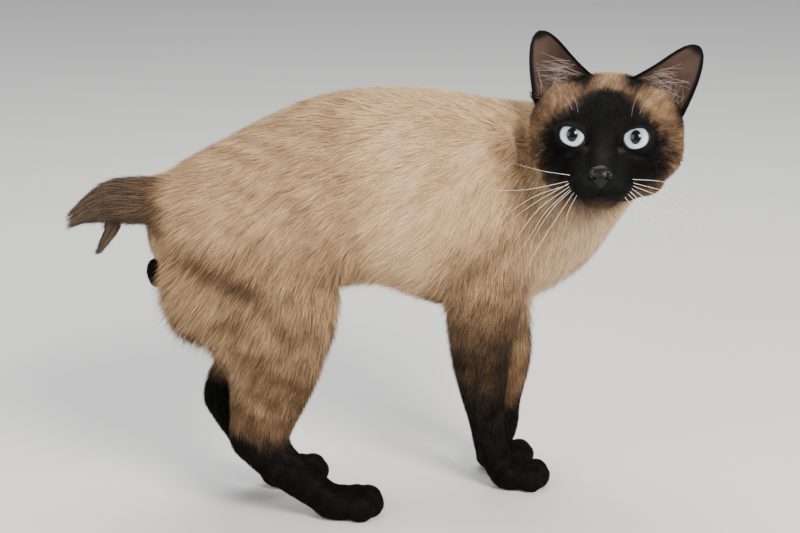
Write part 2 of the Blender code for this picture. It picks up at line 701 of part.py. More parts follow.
def on_surface(thing, points):
    """The nearest places on an object's surface."""
    tree = BVHTree.FromObject(thing, bpy.context.evaluated_depsgraph_get())
    return [tree.find_nearest(point)[0] for point in points]


def groove(head, name, points, radius, to_world):
    """Carves a thin line into the head's surface along these places."""
    line = on_surface(head, [to_world @ Vector(point) for point in points])
    stations = [(*point, radius, radius, radius) for point in line]
    boolean(head, "DIFFERENCE", loft(name, stations, (0.13, 0.05, 1), steps=3, sides=6))


def carve_face(head, to_world):
    """Opens the lids over the eyeballs, and carves the mouth, the lips' cleft and the nose's seat."""
    for side in (-1, 1):
        centre = (0.0, side * EYE_SPREAD, 0.0)
        boolean(head, "DIFFERENCE", ball("socket", centre, (EYE_RADIUS + GAP,) * 3, to_world, detail=16))
        turn = (Matrix.Rotation(side * EYE_DIVERGENCE, 4, "Z")
                @ Matrix.Rotation(side * LID_SLANT, 4, "X"))
        opening = ball("opening", (0.0120, side * (EYE_SPREAD + 0.0003), 0.0),
                       (0.0140, LID_OPENING_WIDTH / 2, LID_OPENING_HEIGHT / 2), to_world, turn, detail=18)
        boolean(head, "DIFFERENCE", opening)
    boolean(head, "DIFFERENCE", nose_pad("seat", to_world, GAP))
    groove(head, "cleft", [(0.032, 0, -0.0290), (0.033, 0, -0.0320), (0.031, 0, -0.0350)],
           MOUTH_GROOVE, to_world)
    for side in (-1, 1):
        lip = [(0.0310, 0, -0.0350), (0.0300, side * 0.0045, -0.0365), (0.0260, side * 0.0095, -0.0375),
               (0.0200, side * 0.0135, -0.0375), (0.0140, side * 0.0155, -0.0365)]
        groove(head, "lip", lip, MOUTH_GROOVE, to_world)
    keep_largest(head)


def fit_ear(piece, head):
    """Trims an ear's root to the skull, with a thin gap."""
    swollen = duplicate(head, "swollen")
    grow = swollen.modifiers.new("grow", "DISPLACE")
    grow.direction = "NORMAL"
    grow.mid_level = 0.0
    grow.strength = GAP
    apply_modifiers(swollen)
    boolean(piece, "DIFFERENCE", swollen)
    keep_largest(piece)


def scrotum_form(name, grow=0.0):
    """The two furred lobes under the tail."""
    lobes = [ball(name, Vector(SCROTUM_PLACE) + Vector((0, side * 0.0050, 0)),
                  (0.0078 + grow, 0.0066 + grow, 0.0092 + grow), detail=10) for side in (-1, 1)]
    boolean(lobes[0], "UNION", lobes[1])
    return lobes[0]


def finish(thing, colour, roughness):
    """Gives a node its own material and moves it to its place over the origin."""
    material = bpy.data.materials.new(thing.name)
    material.use_nodes = True
    shader = material.node_tree.nodes["Principled BSDF"]
    shader.inputs["Base Color"].default_value = (*colour, 1.0)
    shader.inputs["Roughness"].default_value = roughness
    shader.inputs["Metallic"].default_value = 0.0
    thing.data.materials.clear()
    thing.data.materials.append(material)
    thing.vertex_groups.clear()
    thing.data.transform(Matrix.Translation(BODY_SHIFT))
    thing.data.shade_smooth()


def main():
    clear_scene()
    to_world = head_frame()
    body = whole_body()
    thin_out(body, BODY_TRIANGLES)
    boolean(body, "DIFFERENCE", half_space("floor", (0, 0, 0), (0, 0, -1), 0.0))

    nodes = []
    for name, side, crotch, middle, knee, hock, ball_of_foot in (
        ("right", -1, HIND_CROTCH, HIND_MIDDLE, (-0.035, 0.112), (-0.046, 0.074), (-0.008, 0.020)),
        ("left", 1, HIND_CROTCH, HIND_MIDDLE, (-0.030, 0.112), (-0.053, 0.085), (-0.034, 0.020)),
    ):
        leg = take(body, name, leg_region(side, crotch, middle, 0), leg_region(side, crotch, middle, GAP))
        lower, thigh = split(leg, (knee[0], 0, knee[1]), (0.15, 0, -1), "lower", name + "_thigh")
        foot, shank = split(lower, (hock[0], 0, hock[1]), (0.15, 0, -1), "foot", name + "_shank")
        toes, heel = split(foot, (ball_of_foot[0], 0, ball_of_foot[1]), (1, 0, -0.35),
                           name + "_hind_paw", name + "_hind_foot")
        nodes += [thigh, shank, heel, toes]
    for name, side, wrist in (("right", -1, (0.118, 0.033)), ("left", 1, (0.130, 0.033))):
        leg = take(body, name, leg_region(side, FORE_CROTCH, FORE_MIDDLE, 0),
                   leg_region(side, FORE_CROTCH, FORE_MIDDLE, GAP))
        lower, upper = split(leg, (0.105, 0, 0.106), (0, 0, -1), "lower", name + "_upper_foreleg")
        toes, forearm = split(lower, (wrist[0], 0, wrist[1]), (0.15, 0, -1),
                              name + "_forepaw", name + "_forearm")
        nodes += [upper, forearm, toes]
    tail = take(body, "tail", tail_region(0), tail_region(GAP))
    tip, base = split(tail, (TAIL_SPLIT, 0, 0), (-1, 0, 0), "tail_tip", "tail_base")
    front, torso = split(body, (0.140, -0.005, 0.212), (0.80, -0.50, 0.33), "front", "torso")
    head, neck = split(front, to_world @ Vector(HEAD_CUT_POINT), to_world.to_3x3() @ Vector(HEAD_CUT_NORMAL),
                       "head", "neck")
    join_locks(tip, tail_locks())
    nodes += [tip, base, torso, neck]
    scrotum = scrotum_form("scrotum")
    for piece in [node for node in nodes if node.name in ("torso", "right_thigh", "left_thigh")]:
        boolean(piece, "DIFFERENCE", scrotum_form("seat", GAP))
        keep_largest(piece)

    ears = [ear("right_ear", -1, *RIGHT_EAR, to_world), ear("left_ear", 1, *LEFT_EAR, to_world)]
    for piece in ears:
        fit_ear(piece, head)
    carve_face(head, to_world)
    eyes = [ball(name, (0.0, side * EYE_SPREAD, 0.0), (EYE_RADIUS,) * 3, to_world, detail=16)
            for name, side in (("right_eye", -1), ("left_eye", 1))]
    nose = nose_pad("nose_leather", to_world)
    for side in (-1, 1):
        nostril = ball("nostril", (0.0335, side * 0.0042, -0.0240),
                       (0.0026, NOSTRIL_RADIUS, NOSTRIL_RADIUS * 0.8), to_world, detail=9)
        boolean(nose, "DIFFERENCE", nostril)
    nodes += [head, scrotum, *ears, *eyes, nose]
    for node in nodes:
        place, colour, roughness = next(
            row for row in COLOURS if any(word in node.name for word in row[0].split()))
        finish(node, colour, roughness)


main()
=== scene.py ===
"""A seal-point bobtail cat, life size, dressed over its solids.

Metres, +Z up. The cat faces +X, its right flank is at -Y, and it stands on the plane z = 0 with its
head turned over its right shoulder. The forms are drawn about the point midway between the hind
paws, as in the part's source, and every finished mesh is moved by BODY_SHIFT.
"""

import logging
from collections.abc import Sequence
from dataclasses import dataclass, field
from enum import Enum
from math import ceil, copysign, cos, pi, radians, sin, sqrt

import bmesh
import bpy
import numpy as np
from bpy.types import Material, Mesh, NodeSocket, Object
from mathutils import Matrix, Vector
from mathutils.bvhtree import BVHTree


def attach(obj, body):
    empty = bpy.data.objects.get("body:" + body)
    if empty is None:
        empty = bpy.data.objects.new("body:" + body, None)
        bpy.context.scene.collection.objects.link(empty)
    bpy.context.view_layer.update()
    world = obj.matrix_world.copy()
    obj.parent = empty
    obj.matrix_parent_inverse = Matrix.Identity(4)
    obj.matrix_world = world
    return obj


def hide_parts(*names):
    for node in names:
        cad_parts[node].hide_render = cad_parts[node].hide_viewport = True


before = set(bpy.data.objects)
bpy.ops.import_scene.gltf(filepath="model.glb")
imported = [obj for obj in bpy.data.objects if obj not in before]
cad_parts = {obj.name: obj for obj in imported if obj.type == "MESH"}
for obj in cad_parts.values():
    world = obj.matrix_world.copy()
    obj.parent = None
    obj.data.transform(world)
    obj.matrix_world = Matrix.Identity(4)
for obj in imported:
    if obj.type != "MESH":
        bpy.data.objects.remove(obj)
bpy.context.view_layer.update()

LOG = logging.getLogger("cat")

Array = np.ndarray
Station = tuple[float, float, float, float, float, float]
Place = tuple[float, float, float]

BODY_SHIFT = Vector((-0.0366, 0.0334, 0.0))
FLOOR_CLEARANCE = 0.0004
SEED = 11


def ease(values: Array, low: float, high: float) -> Array:
    """0 at `low`, rising smoothly to 1 at `high`."""
    part = np.clip((values - low) / (high - low), 0.0, 1.0)
    return part * part * (3.0 - 2.0 * part)


def slope(values: Array, low: float, high: float) -> Array:
    """0 at `low`, rising evenly to 1 at `high`."""
    return np.clip((values - low) / (high - low), 0.0, 1.0)


def hump(points: Array, centre: Sequence[float], radii: Sequence[float]) -> Array:
    """A soft blob that is 1 at its centre and falls away over its radii.

    Args:
        points: Places, one a row.
        centre: The blob's middle.
        radii: How far it reaches along each axis.

    Returns:
        The blob's strength at each place.
    """
    return np.exp(-(((points - np.array(centre)) / np.array(radii)) ** 2).sum(axis=1))


def unit(vectors: Array) -> Array:
    """Rows of vectors, each made one long."""
    return vectors / np.maximum(np.linalg.norm(vectors, axis=1), 1e-9)[:, None]


def smooth_noise(points: Array, scale: float, seed: int, waves: int = 5) -> Array:
    """Gentle noise between about -1 and 1, made of a few sine waves in random directions.

    Args:
        points: Places, one a row.
        scale: About how far apart the noise's hills are.
        seed: Which noise it is.
        waves: How many sine waves are added.

    Returns:
        The noise at each place.
    """
    rng = np.random.default_rng(seed)
    ways = unit(rng.normal(size=(waves, 3))) * rng.uniform(0.7, 1.5, (waves, 1))
    starts = rng.uniform(0, 2 * pi, waves)
    return np.sin(points @ ways.T * (2 * pi / scale) + starts).sum(axis=1) / sqrt(waves)


def corners_of(mesh: Mesh) -> Array:
    """The vertices of a mesh, one a row."""
    points = np.empty(len(mesh.vertices) * 3)
    mesh.vertices.foreach_get("co", points)
    return points.reshape(-1, 3)


def normals_of(mesh: Mesh) -> Array:
    """The vertex normals of a mesh, one a row."""
    normals = np.empty(len(mesh.vertices) * 3)
    mesh.vertex_normals.foreach_get("vector", normals)
    return normals.reshape(-1, 3)


def link(name: str, mesh: Mesh) -> Object:
    """A new object of this mesh, in the scene."""
    thing = bpy.data.objects.new(name, mesh)
    bpy.context.scene.collection.objects.link(thing)
    return thing


def mesh_of(shape: bmesh.types.BMesh, name: str) -> Mesh:
    """A new mesh of this shape, which is freed."""
    mesh = bpy.data.meshes.new(name)
    shape.to_mesh(mesh)
    shape.free()
    return mesh


def apply_modifiers(thing: Object) -> None:
    """Bakes an object's modifiers into its own mesh."""
    graph = bpy.context.evaluated_depsgraph_get()
    graph.update()
    baked = bpy.data.meshes.new_from_object(thing.evaluated_get(graph), depsgraph=graph)
    thing.modifiers.clear()
    old = thing.data
    thing.data = baked
    bpy.data.meshes.remove(old)


def merge_forms(thing: Object, voxel: float) -> None:
    """Adds a remesh that turns crossing forms into one surface."""
    remesh = thing.modifiers.new("merge", "REMESH")
    remesh.mode = "VOXEL"
    remesh.voxel_size = voxel


def combine(thing: Object, other: Object, operation: str) -> None:
    """Joins another object to this one, or cuts it out, and removes the other."""
    both = thing.modifiers.new("combine", "BOOLEAN")
    both.operation = operation
    both.object = other
    both.solver = "MANIFOLD"
    apply_modifiers(thing)
    bpy.data.objects.remove(other)


def add_number(mesh: Mesh, name: str, values: Array) -> None:
    """Stores one number for each vertex under this name."""
    mesh.attributes.new(name, "FLOAT", "POINT").data.foreach_set("value", values.astype(np.float32))


def weigh(thing: Object, name: str, weights: Array, levels: int = 24) -> str:
    """Adds a vertex group with these weights, to the nearest of a few levels.

    Args:
        thing: The object that gets the group.
        name: The group's name.
        weights: A weight for each vertex.
        levels: How many different weights are kept.

    Returns:
        The group's name.
    """
    group = thing.vertex_groups.new(name=name)
    steps = np.round(weights * levels).astype(int)
    for step in range(1, levels + 1):
        group.add(np.flatnonzero(steps == step).tolist(), step / levels, "REPLACE")
    return group.name


def through_stations(stations: Sequence[Sequence[float]], steps: int) -> Array:
    """Rows between the stations of a form, on a Catmull-Rom curve through them."""
    rows = np.array(stations, float)
    ends = np.vstack([2 * rows[0] - rows[1], rows, 2 * rows[-1] - rows[-2]])
    found = []
    for i in range(len(rows) - 1):
        a, b, c, d = ends[i : i + 4]
        for t in np.arange(steps) / steps:
            found.append(
                0.5 * (2 * b + (c - a) * t + (2 * a - 5 * b + 4 * c - d) * t**2
                       + (3 * b - a - 3 * c + d) * t**3)
            )
    found.append(rows[-1])
    return np.array(found)


def metres(*rows: Sequence[float]) -> tuple[Station, ...]:
    """Stations whose numbers are given in millimetres."""
    return tuple(tuple(value / 1000 for value in row) for row in rows)


@dataclass(frozen=True)
class Head:
    """Where the head is, how it is turned, and the sizes of the face. Its axes are x along the gaze,
    y to the cat's left and z up, from the point midway between the eyeballs."""

    eye_midpoint: Place = (0.1636, -0.0844, 0.2611)
    azimuth: float = radians(-110.0)
    elevation: float = radians(10.0)
    roll: float = radians(-1.5)
    eye_spread: float = 0.0198
    eye_radius: float = 0.0108
    lid_thickness: float = 0.0014
    eye_divergence: float = radians(7.0)
    lid_opening: tuple[float, float] = (0.02, 0.0124)
    right_lids: float = 0.9
    lid_slant: float = radians(20.0)
    ear_thickness: float = 0.0021
    ear_fullness: float = 1.08
    ear_depth: float = 0.015
    ear_lean: float = 0.16
    right_ear: tuple[Place, Place, Place] = (
        (-0.024, -0.0105, 0.0365), (-0.03, -0.0455, 0.0205), (-0.036, -0.0465, 0.064))
    left_ear: tuple[Place, Place, Place] = (
        (-0.024, 0.014, 0.0365), (-0.03, 0.046, 0.0155), (-0.038, 0.0545, 0.0592))

    def matrix(self) -> Matrix:
        """The matrix from the head's axes to the cat's."""
        forward = Vector((cos(self.elevation) * cos(self.azimuth),
                          cos(self.elevation) * sin(self.azimuth),
                          sin(self.elevation)))
        left = Vector((0, 0, 1)).cross(forward).normalized()
        up = forward.cross(left)
        turned = Matrix.Rotation(self.roll, 3, forward)
        matrix = Matrix((forward, turned @ left, turned @ up)).transposed().to_4x4()
        matrix.translation = self.eye_midpoint
        return matrix

    def local(self, points: Array) -> Array:
        """Places in the cat's axes turned into places in the head's."""
        inverse = np.array(self.matrix().inverted())
        return points @ inverse[:3, :3].T + inverse[:3, 3]

    def placed(self, points: Array) -> Array:
        """Places in the head's axes turned into places in the cat's."""
        matrix = np.array(self.matrix())
        return points @ matrix[:3, :3].T + matrix[:3, 3]

    def turned(self, vectors: Array) -> Array:
        """Directions in the head's axes turned into directions in the cat's."""
        return vectors @ np.array(self.matrix().to_3x3()).T

    def local_ways(self, vectors: Array) -> Array:
        """Directions in the cat's axes turned into directions in the head's."""
        return vectors @ np.array(self.matrix().to_3x3())

    def eye(self, side: int) -> Place:
        """The middle of an eyeball, in the head's own axes."""
        return 0.0, side * self.eye_spread, 0.0

    def lid_reach(self) -> Place:
        """The outer radii of the ball that the lids are cut from."""
        return (self.eye_radius + self.lid_thickness,) * 3

    def ears(self) -> tuple["Ear", "Ear"]:
        """Both ears, the right one first."""
        return Ear(*self.right_ear, self), Ear(*self.left_ear, self)


@dataclass(frozen=True)
class Ear:
    """A cupped ear, drawn in the head's axes. TAPER is how its outline narrows to the tip."""

    TAPER = 1.1
    inner_base: Place
    outer_base: Place
    tip: Place
    head: Head

    def axes(self) -> tuple[Vector, Vector, Vector, Vector]:
        """The middle of the base, the way up to the tip, the way across and the way back."""
        inner, outer, tip = Vector(self.inner_base), Vector(self.outer_base), Vector(self.tip)
        middle = (inner + outer) / 2
        rise, span = tip - middle, outer - inner
        back = span.cross(rise).normalized()
        return middle, rise, span, back if back.x < 0 else -back

    def sheet(self, v: float, u: float, inward: float = 0.0) -> Vector:
        """A place on the ear's back.

        Args:
            v: How far up, from 0 at the base to 1 at the tip.
            u: How far across, from 0 at the inner edge to 1 at the outer one.
            inward: 1 for the cup's inside.

        Returns:
            The place, in the head's axes.
        """
        middle, rise, span, back = self.axes()
        up = max(v, 0.0)
        width = max(self.head.ear_fullness * sqrt(1 - up**self.TAPER), 0.05)
        arch = 1 - (2 * u - 1) ** 2
        lean = 1 - self.head.ear_lean * 4 * up * (1 - up) * (u < 0.5)
        point = middle + rise * v + span * ((u - 0.5) * width * lean)
        point += back * self.head.ear_depth * (1 - up) ** 0.75 * arch**0.8
        return point - back * inward * self.head.ear_thickness * (0.6 + 0.4 * arch)

    def form(self, to_cat: Matrix, rows: int = 30, columns: int = 20) -> Object:
        """The closed solid of the ear, with its root sunk in the skull."""
        shape = bmesh.new()
        sheets = []
        for inward in (0.0, 1.0):
            grid = []
            for i in range(rows + 1):
                step = i / rows
                v = -0.32 + 0.32 * step / 0.2 if step < 0.2 else 1 - ((1 - step) / 0.8) ** 1.6
                grid.append([shape.verts.new(to_cat @ self.sheet(v, j / columns, inward))
                             for j in range(columns + 1)])
            sheets.append(grid)
        for grid in sheets:
            for i in range(rows):
                for j in range(columns):
                    shape.faces.new((grid[i][j], grid[i][j + 1], grid[i + 1][j + 1], grid[i + 1][j]))
        outer, inner = sheets
        rim = ([(i, 0) for i in range(rows)] + [(rows, j) for j in range(columns)]
               + [(i, columns) for i in range(rows, 0, -1)] + [(0, j) for j in range(columns, 0, -1)])
        for (i, j), (k, m) in zip(rim, rim[1:] + rim[:1]):
            shape.faces.new((outer[i][j], outer[k][m], inner[k][m], inner[i][j]))
        bmesh.ops.recalc_face_normals(shape, faces=shape.faces)
        return link("ear", mesh_of(shape, "ear"))

    def measure(self, local: Array, normals: Array) -> tuple[Array, ...]:
        """Where places are on this ear.

        Args:
            local: Places in the head's axes.
            normals: The surface's normals there, in the head's axes.

        Returns:
            How far up and across each place is, whether it is on the ear (0 to 1), and whether it is
            on the inside of the cup (0 to 1).
        """
        middle, rise, span, back = (np.array(axis) for axis in self.axes())
        away = local - middle
        up_only, across_only = np.cross(span, back), np.cross(rise, back)
        v = away @ up_only / (rise @ up_only)
        u = away @ across_only / (span @ across_only) + 0.5
        deep = away @ back
        on_ear = (slope(v, 0.00, 0.1) * slope(0.75 - np.abs(u - 0.5), 0.0, 0.08)
                  * slope(deep, -0.008, -0.004) * slope(-deep, -0.024, -0.019)
                  * slope(-v, -1.1, -1.06))
        up = np.clip(v, 0, 1)
        width = self.head.ear_fullness * np.sqrt(np.clip(1 - up**self.TAPER, 0.003, 1))
        width *= 1 - self.head.ear_lean * 4 * up * (1 - up) * (u < 0.5)
        edge = (1 - np.abs(u - 0.5) / (0.5 * width)) * width * 0.5 * np.linalg.norm(span)
        inside = slope(-(normals @ back), 0.1, 0.35) * slope(edge, 0.0018, 0.003)
        return v, u, on_ear, inside * on_ear


class Clay:
    """Forms of flesh, gathered into one mesh before they are merged."""

    def __init__(self) -> None:
        """Starts with nothing."""
        self.shape = bmesh.new()

    def loft(self, stations: Sequence[Station], up: Place, steps: int = 4, sides: int = 28, cap: float = 0.6,
             to_cat: Matrix | None = None, keel: float = 2.0, crest: float = 2.0) -> None:
        """Adds a closed form through elliptical rings, with rounded ends.

        Args:
            stations: Centre, half width, and reach towards `up` and away from it, for each ring.
            up: The direction in which a ring's rise is measured.
            steps: Rings between two stations.
            sides: Points in a ring.
            cap: How far each end is rounded, as a share of the end ring's size.
            to_cat: The matrix from the form's axes to the cat's.
            keel: Under 2, it draws the lower half of each ring in towards a ridge.
            crest: Over 2, it flattens the upper half.
        """
        rows = through_stations(stations, steps)
        centres = [Vector(row[:3]) for row in rows]
        last = len(rows) - 1
        ahead = [(centres[min(i + 1, last)] - centres[max(i - 1, 0)]).normalized() for i in range(len(rows))]
        rings = []
        for outward, i in ((-1, 0), (1, last)):
            size = min(rows[i][3:6]) * cap
            rings.append([(centres[i] + ahead[i] * outward * size * sqrt(1 - part * part),
                           ahead[i], rows[i][3:6] * part) for part in (0.35, 0.7, 0.92)])
        body = [(centres[i], ahead[i], rows[i][3:6]) for i in range(len(rows))]
        loops = []
        for centre, forward, (half_width, rise, drop) in rings[0] + body + rings[1][::-1]:
            across = Vector(up).cross(forward).normalized()
            lift = forward.cross(across)
            loop = []
            for k in range(sides):
                angle = 2 * pi * k / sides
                wide, high = cos(angle), sin(angle)
                power = 2 / (keel if high < 0 else crest)
                wide = copysign(abs(wide) ** power, wide)
                high = copysign(abs(high) ** power, high)
                point = centre + across * half_width * wide + lift * (rise if high > 0 else drop) * high
                loop.append(self.shape.verts.new(to_cat @ point if to_cat else point))
            loops.append(loop)
        for first, second in zip(loops, loops[1:]):
            for k in range(sides):
                turn = (k + 1) % sides
                self.shape.faces.new((first[k], first[turn], second[turn], second[k]))
        self.shape.faces.new(list(reversed(loops[0])))
        self.shape.faces.new(loops[-1])

    def ball(self, centre: Sequence[float], radii: Sequence[float], to_cat: Matrix | None = None,
             turn: Matrix | None = None, detail: int = 24) -> None:
        """Adds an ellipsoid, turned about its own centre by `turn`."""
        matrix = ((to_cat or Matrix.Identity(4)) @ Matrix.Translation(centre)
                  @ (turn or Matrix.Identity(4)) @ Matrix.Diagonal((*radii, 1)))
        bmesh.ops.create_uvsphere(self.shape, u_segments=detail, v_segments=detail * 2 // 3, radius=1.0,
                                  matrix=matrix)

    def add(self, thing: Object) -> None:
        """Adds an object's mesh and removes the object."""
        self.shape.from_mesh(thing.data)
        bpy.data.objects.remove(thing)

    def take(self, name: str) -> Object:
        """The gathered forms as an object."""
        bmesh.ops.recalc_face_normals(self.shape, faces=self.shape.faces)
        return link(name, mesh_of(self.shape, name))


@dataclass(frozen=True)
class Paw:
    """The furred pad and four toes of a paw that stands flat."""

    length: float
    width: float
    height: float

    def add_to(self, clay: Clay, heel: Place, heading: float) -> None:
        """Adds the paw, from under the wrist forwards."""
        place = Matrix.Translation(heel) @ Matrix.Rotation(heading, 4, "Z")
        length, width, height = self.length, self.width, self.height
        clay.ball((0.4 * length, 0, 0.44 * height), (0.42 * length, 0.46 * width, 0.54 * height), place)
        for side, ahead, size in ((-0.36, 0.66, 0.9), (-0.13, 0.8, 1), (0.13, 0.8, 1), (0.36, 0.66, 0.9)):
            clay.ball((ahead * length, side * width, 0.43 * height * size),
                      (0.24 * length * size, 0.165 * width * size + 0.001, 0.5 * height * size), place)


@dataclass(frozen=True)
class HindLeg:
    """Thigh, shank and long hind foot."""

    side: int
    y: float
    hock: tuple[float, float]
    knee_ahead: float
    paw_x: float
    heading: float
    paw: Paw = Paw(0.047, 0.033, 0.0225)

    def add_to(self, clay: Clay) -> None:
        """Adds the leg's forms."""
        side, y, ahead = self.side, self.y, self.knee_ahead
        hock_x, hock_z = self.hock
        knee = 0.5 * (hock_x + 0.057)
        clay.loft((
            (-0.068, side * 0.022, 0.212, 0.022, 0.036, 0.038),
            (-0.06 + 0.2 * ahead, side * 0.027, 0.19, 0.0245, 0.048, 0.053),
            (-0.051 + 0.5 * ahead, side * 0.031, 0.165, 0.024, 0.067, 0.059),
            (-0.039 + 0.5 * knee + 0.9 * ahead, side * 0.032, 0.138, 0.021, 0.053, 0.045),
            (-0.034 + knee + ahead, 0.2 * side * 0.033 + 0.8 * y, 0.11, 0.0175, 0.035, 0.036),
            (hock_x + 0.019 + 0.45 * ahead, y, hock_z + 0.025, 0.0142, 0.0285, 0.025 - 0.3 * ahead),
            (hock_x + 0.0125, y, hock_z + 0.004, 0.0118, 0.0235, 0.0195),
            (hock_x + 0.011, y, hock_z - 0.008, 0.0104, 0.018, 0.016),
        ), (1, 0, 0))
        start = Vector((hock_x, y, hock_z))
        along = Vector((self.paw_x - 0.012 - hock_x, 0, 0.0125 - hock_z))
        clay.loft([(*(start + along * part), half_width, rise, drop) for part, half_width, rise, drop in (
            (0.02, 0.01, 0.0135, 0.01),
            (0.22, 0.0116, 0.0205, 0.0122),
            (0.5, 0.0116, 0.015, 0.0142),
            (0.78, 0.0125, 0.0108, 0.0142),
            (1.00, 0.014, 0.008, 0.013),
        )], (0, 0, 1))
        self.paw.add_to(clay, (self.paw_x - 0.027, y, 0), self.heading)


@dataclass(frozen=True)
class ForeLeg:
    """Shoulder, upper arm and forearm down to the wrist and paw."""

    side: int
    x: float
    y: float
    ahead: float
    heading: float
    paw: Paw = Paw(0.041, 0.03, 0.0215)

    def add_to(self, clay: Clay) -> None:
        """Adds the leg's forms."""
        side, x, y, ahead = self.side, self.x, self.y, self.ahead
        clay.loft((
            (0.102 + 0.6 * ahead, side * 0.024, 0.228, 0.02, 0.03, 0.03),
            (0.105 + 0.7 * ahead, side * 0.029, 0.2, 0.022, 0.038, 0.036),
            (0.103 + 0.8 * ahead, side * 0.031, 0.17, 0.021, 0.037, 0.033),
            (0.102 + 0.9 * ahead, side * 0.028 + 0.1 * y, 0.142, 0.0185, 0.03, 0.028),
            (0.1035 + 1.0 * ahead, side * 0.018 + 0.35 * y, 0.113, 0.0165, 0.0235, 0.0235),
            (0.1075 + 1.0 * ahead, side * 0.009 + 0.65 * y, 0.082, 0.014, 0.0185, 0.019),
            (0.112 + 0.8 * ahead, side * 0.003 + 0.9 * y, 0.052, 0.0118, 0.013, 0.0135),
            (0.116 + 0.62 * ahead, y, 0.032, 0.0118, 0.012, 0.012),
            (x - 0.008, y, 0.013, 0.0125, 0.012, 0.011),
        ), (1, 0, 0))
        self.paw.add_to(clay, (x - 0.017, y, 0), self.heading)


@dataclass(frozen=True)
class Tail:
    """The tail's core, its kinked end, and the outside of the long hair over both."""

    core: tuple[Station, ...] = metres(
        (-92, -4, 216, 19, 18, 20),
        (-112, -4, 216.5, 15, 16.2, 16),
        (-124, -4, 216.5, 13.2, 14.8, 13.8),
        (-134, -4, 215.5, 9.8, 11.5, 10.5),
        (-144, -4, 211.5, 4.8, 5.5, 5.2),
    )
    kink: tuple[Station, ...] = metres(
        (-130, -4, 211, 6.5, 6.5, 6.5),
        (-135, -4, 203, 5, 5, 5),
        (-139, -4, 196.5, 2.8, 3, 3),
    )
    brush: tuple[Station, ...] = metres(
        (-100, -4, 216.5, 17.5, 18, 19),
        (-114, -4, 216.5, 15, 16.2, 15.8),
        (-124, -4, 216.5, 14.6, 15.6, 15),
        (-134, -4, 216.5, 13.8, 14.5, 14),
        (-144, -4, 214.5, 11.2, 12, 11.2),
        (-154, -4, 209.8, 7.2, 8.2, 6.8),
        (-163.5, -4, 204.5, 4.5, 4.2, 4.8),
    )
    tuft: tuple[Station, ...] = metres(
        (-131, -4, 206, 7.2, 7.5, 7.5),
        (-136.5, -4, 196, 5.2, 5.2, 5.2),
        (-143.5, -4, 184.8, 1.2, 1.4, 1.4),
    )

    def add_to(self, clay: Clay) -> None:
        """Adds the core and the kink."""
        clay.loft(self.core, (0, 0, 1))
        clay.loft(self.kink, (1, 0, 0))


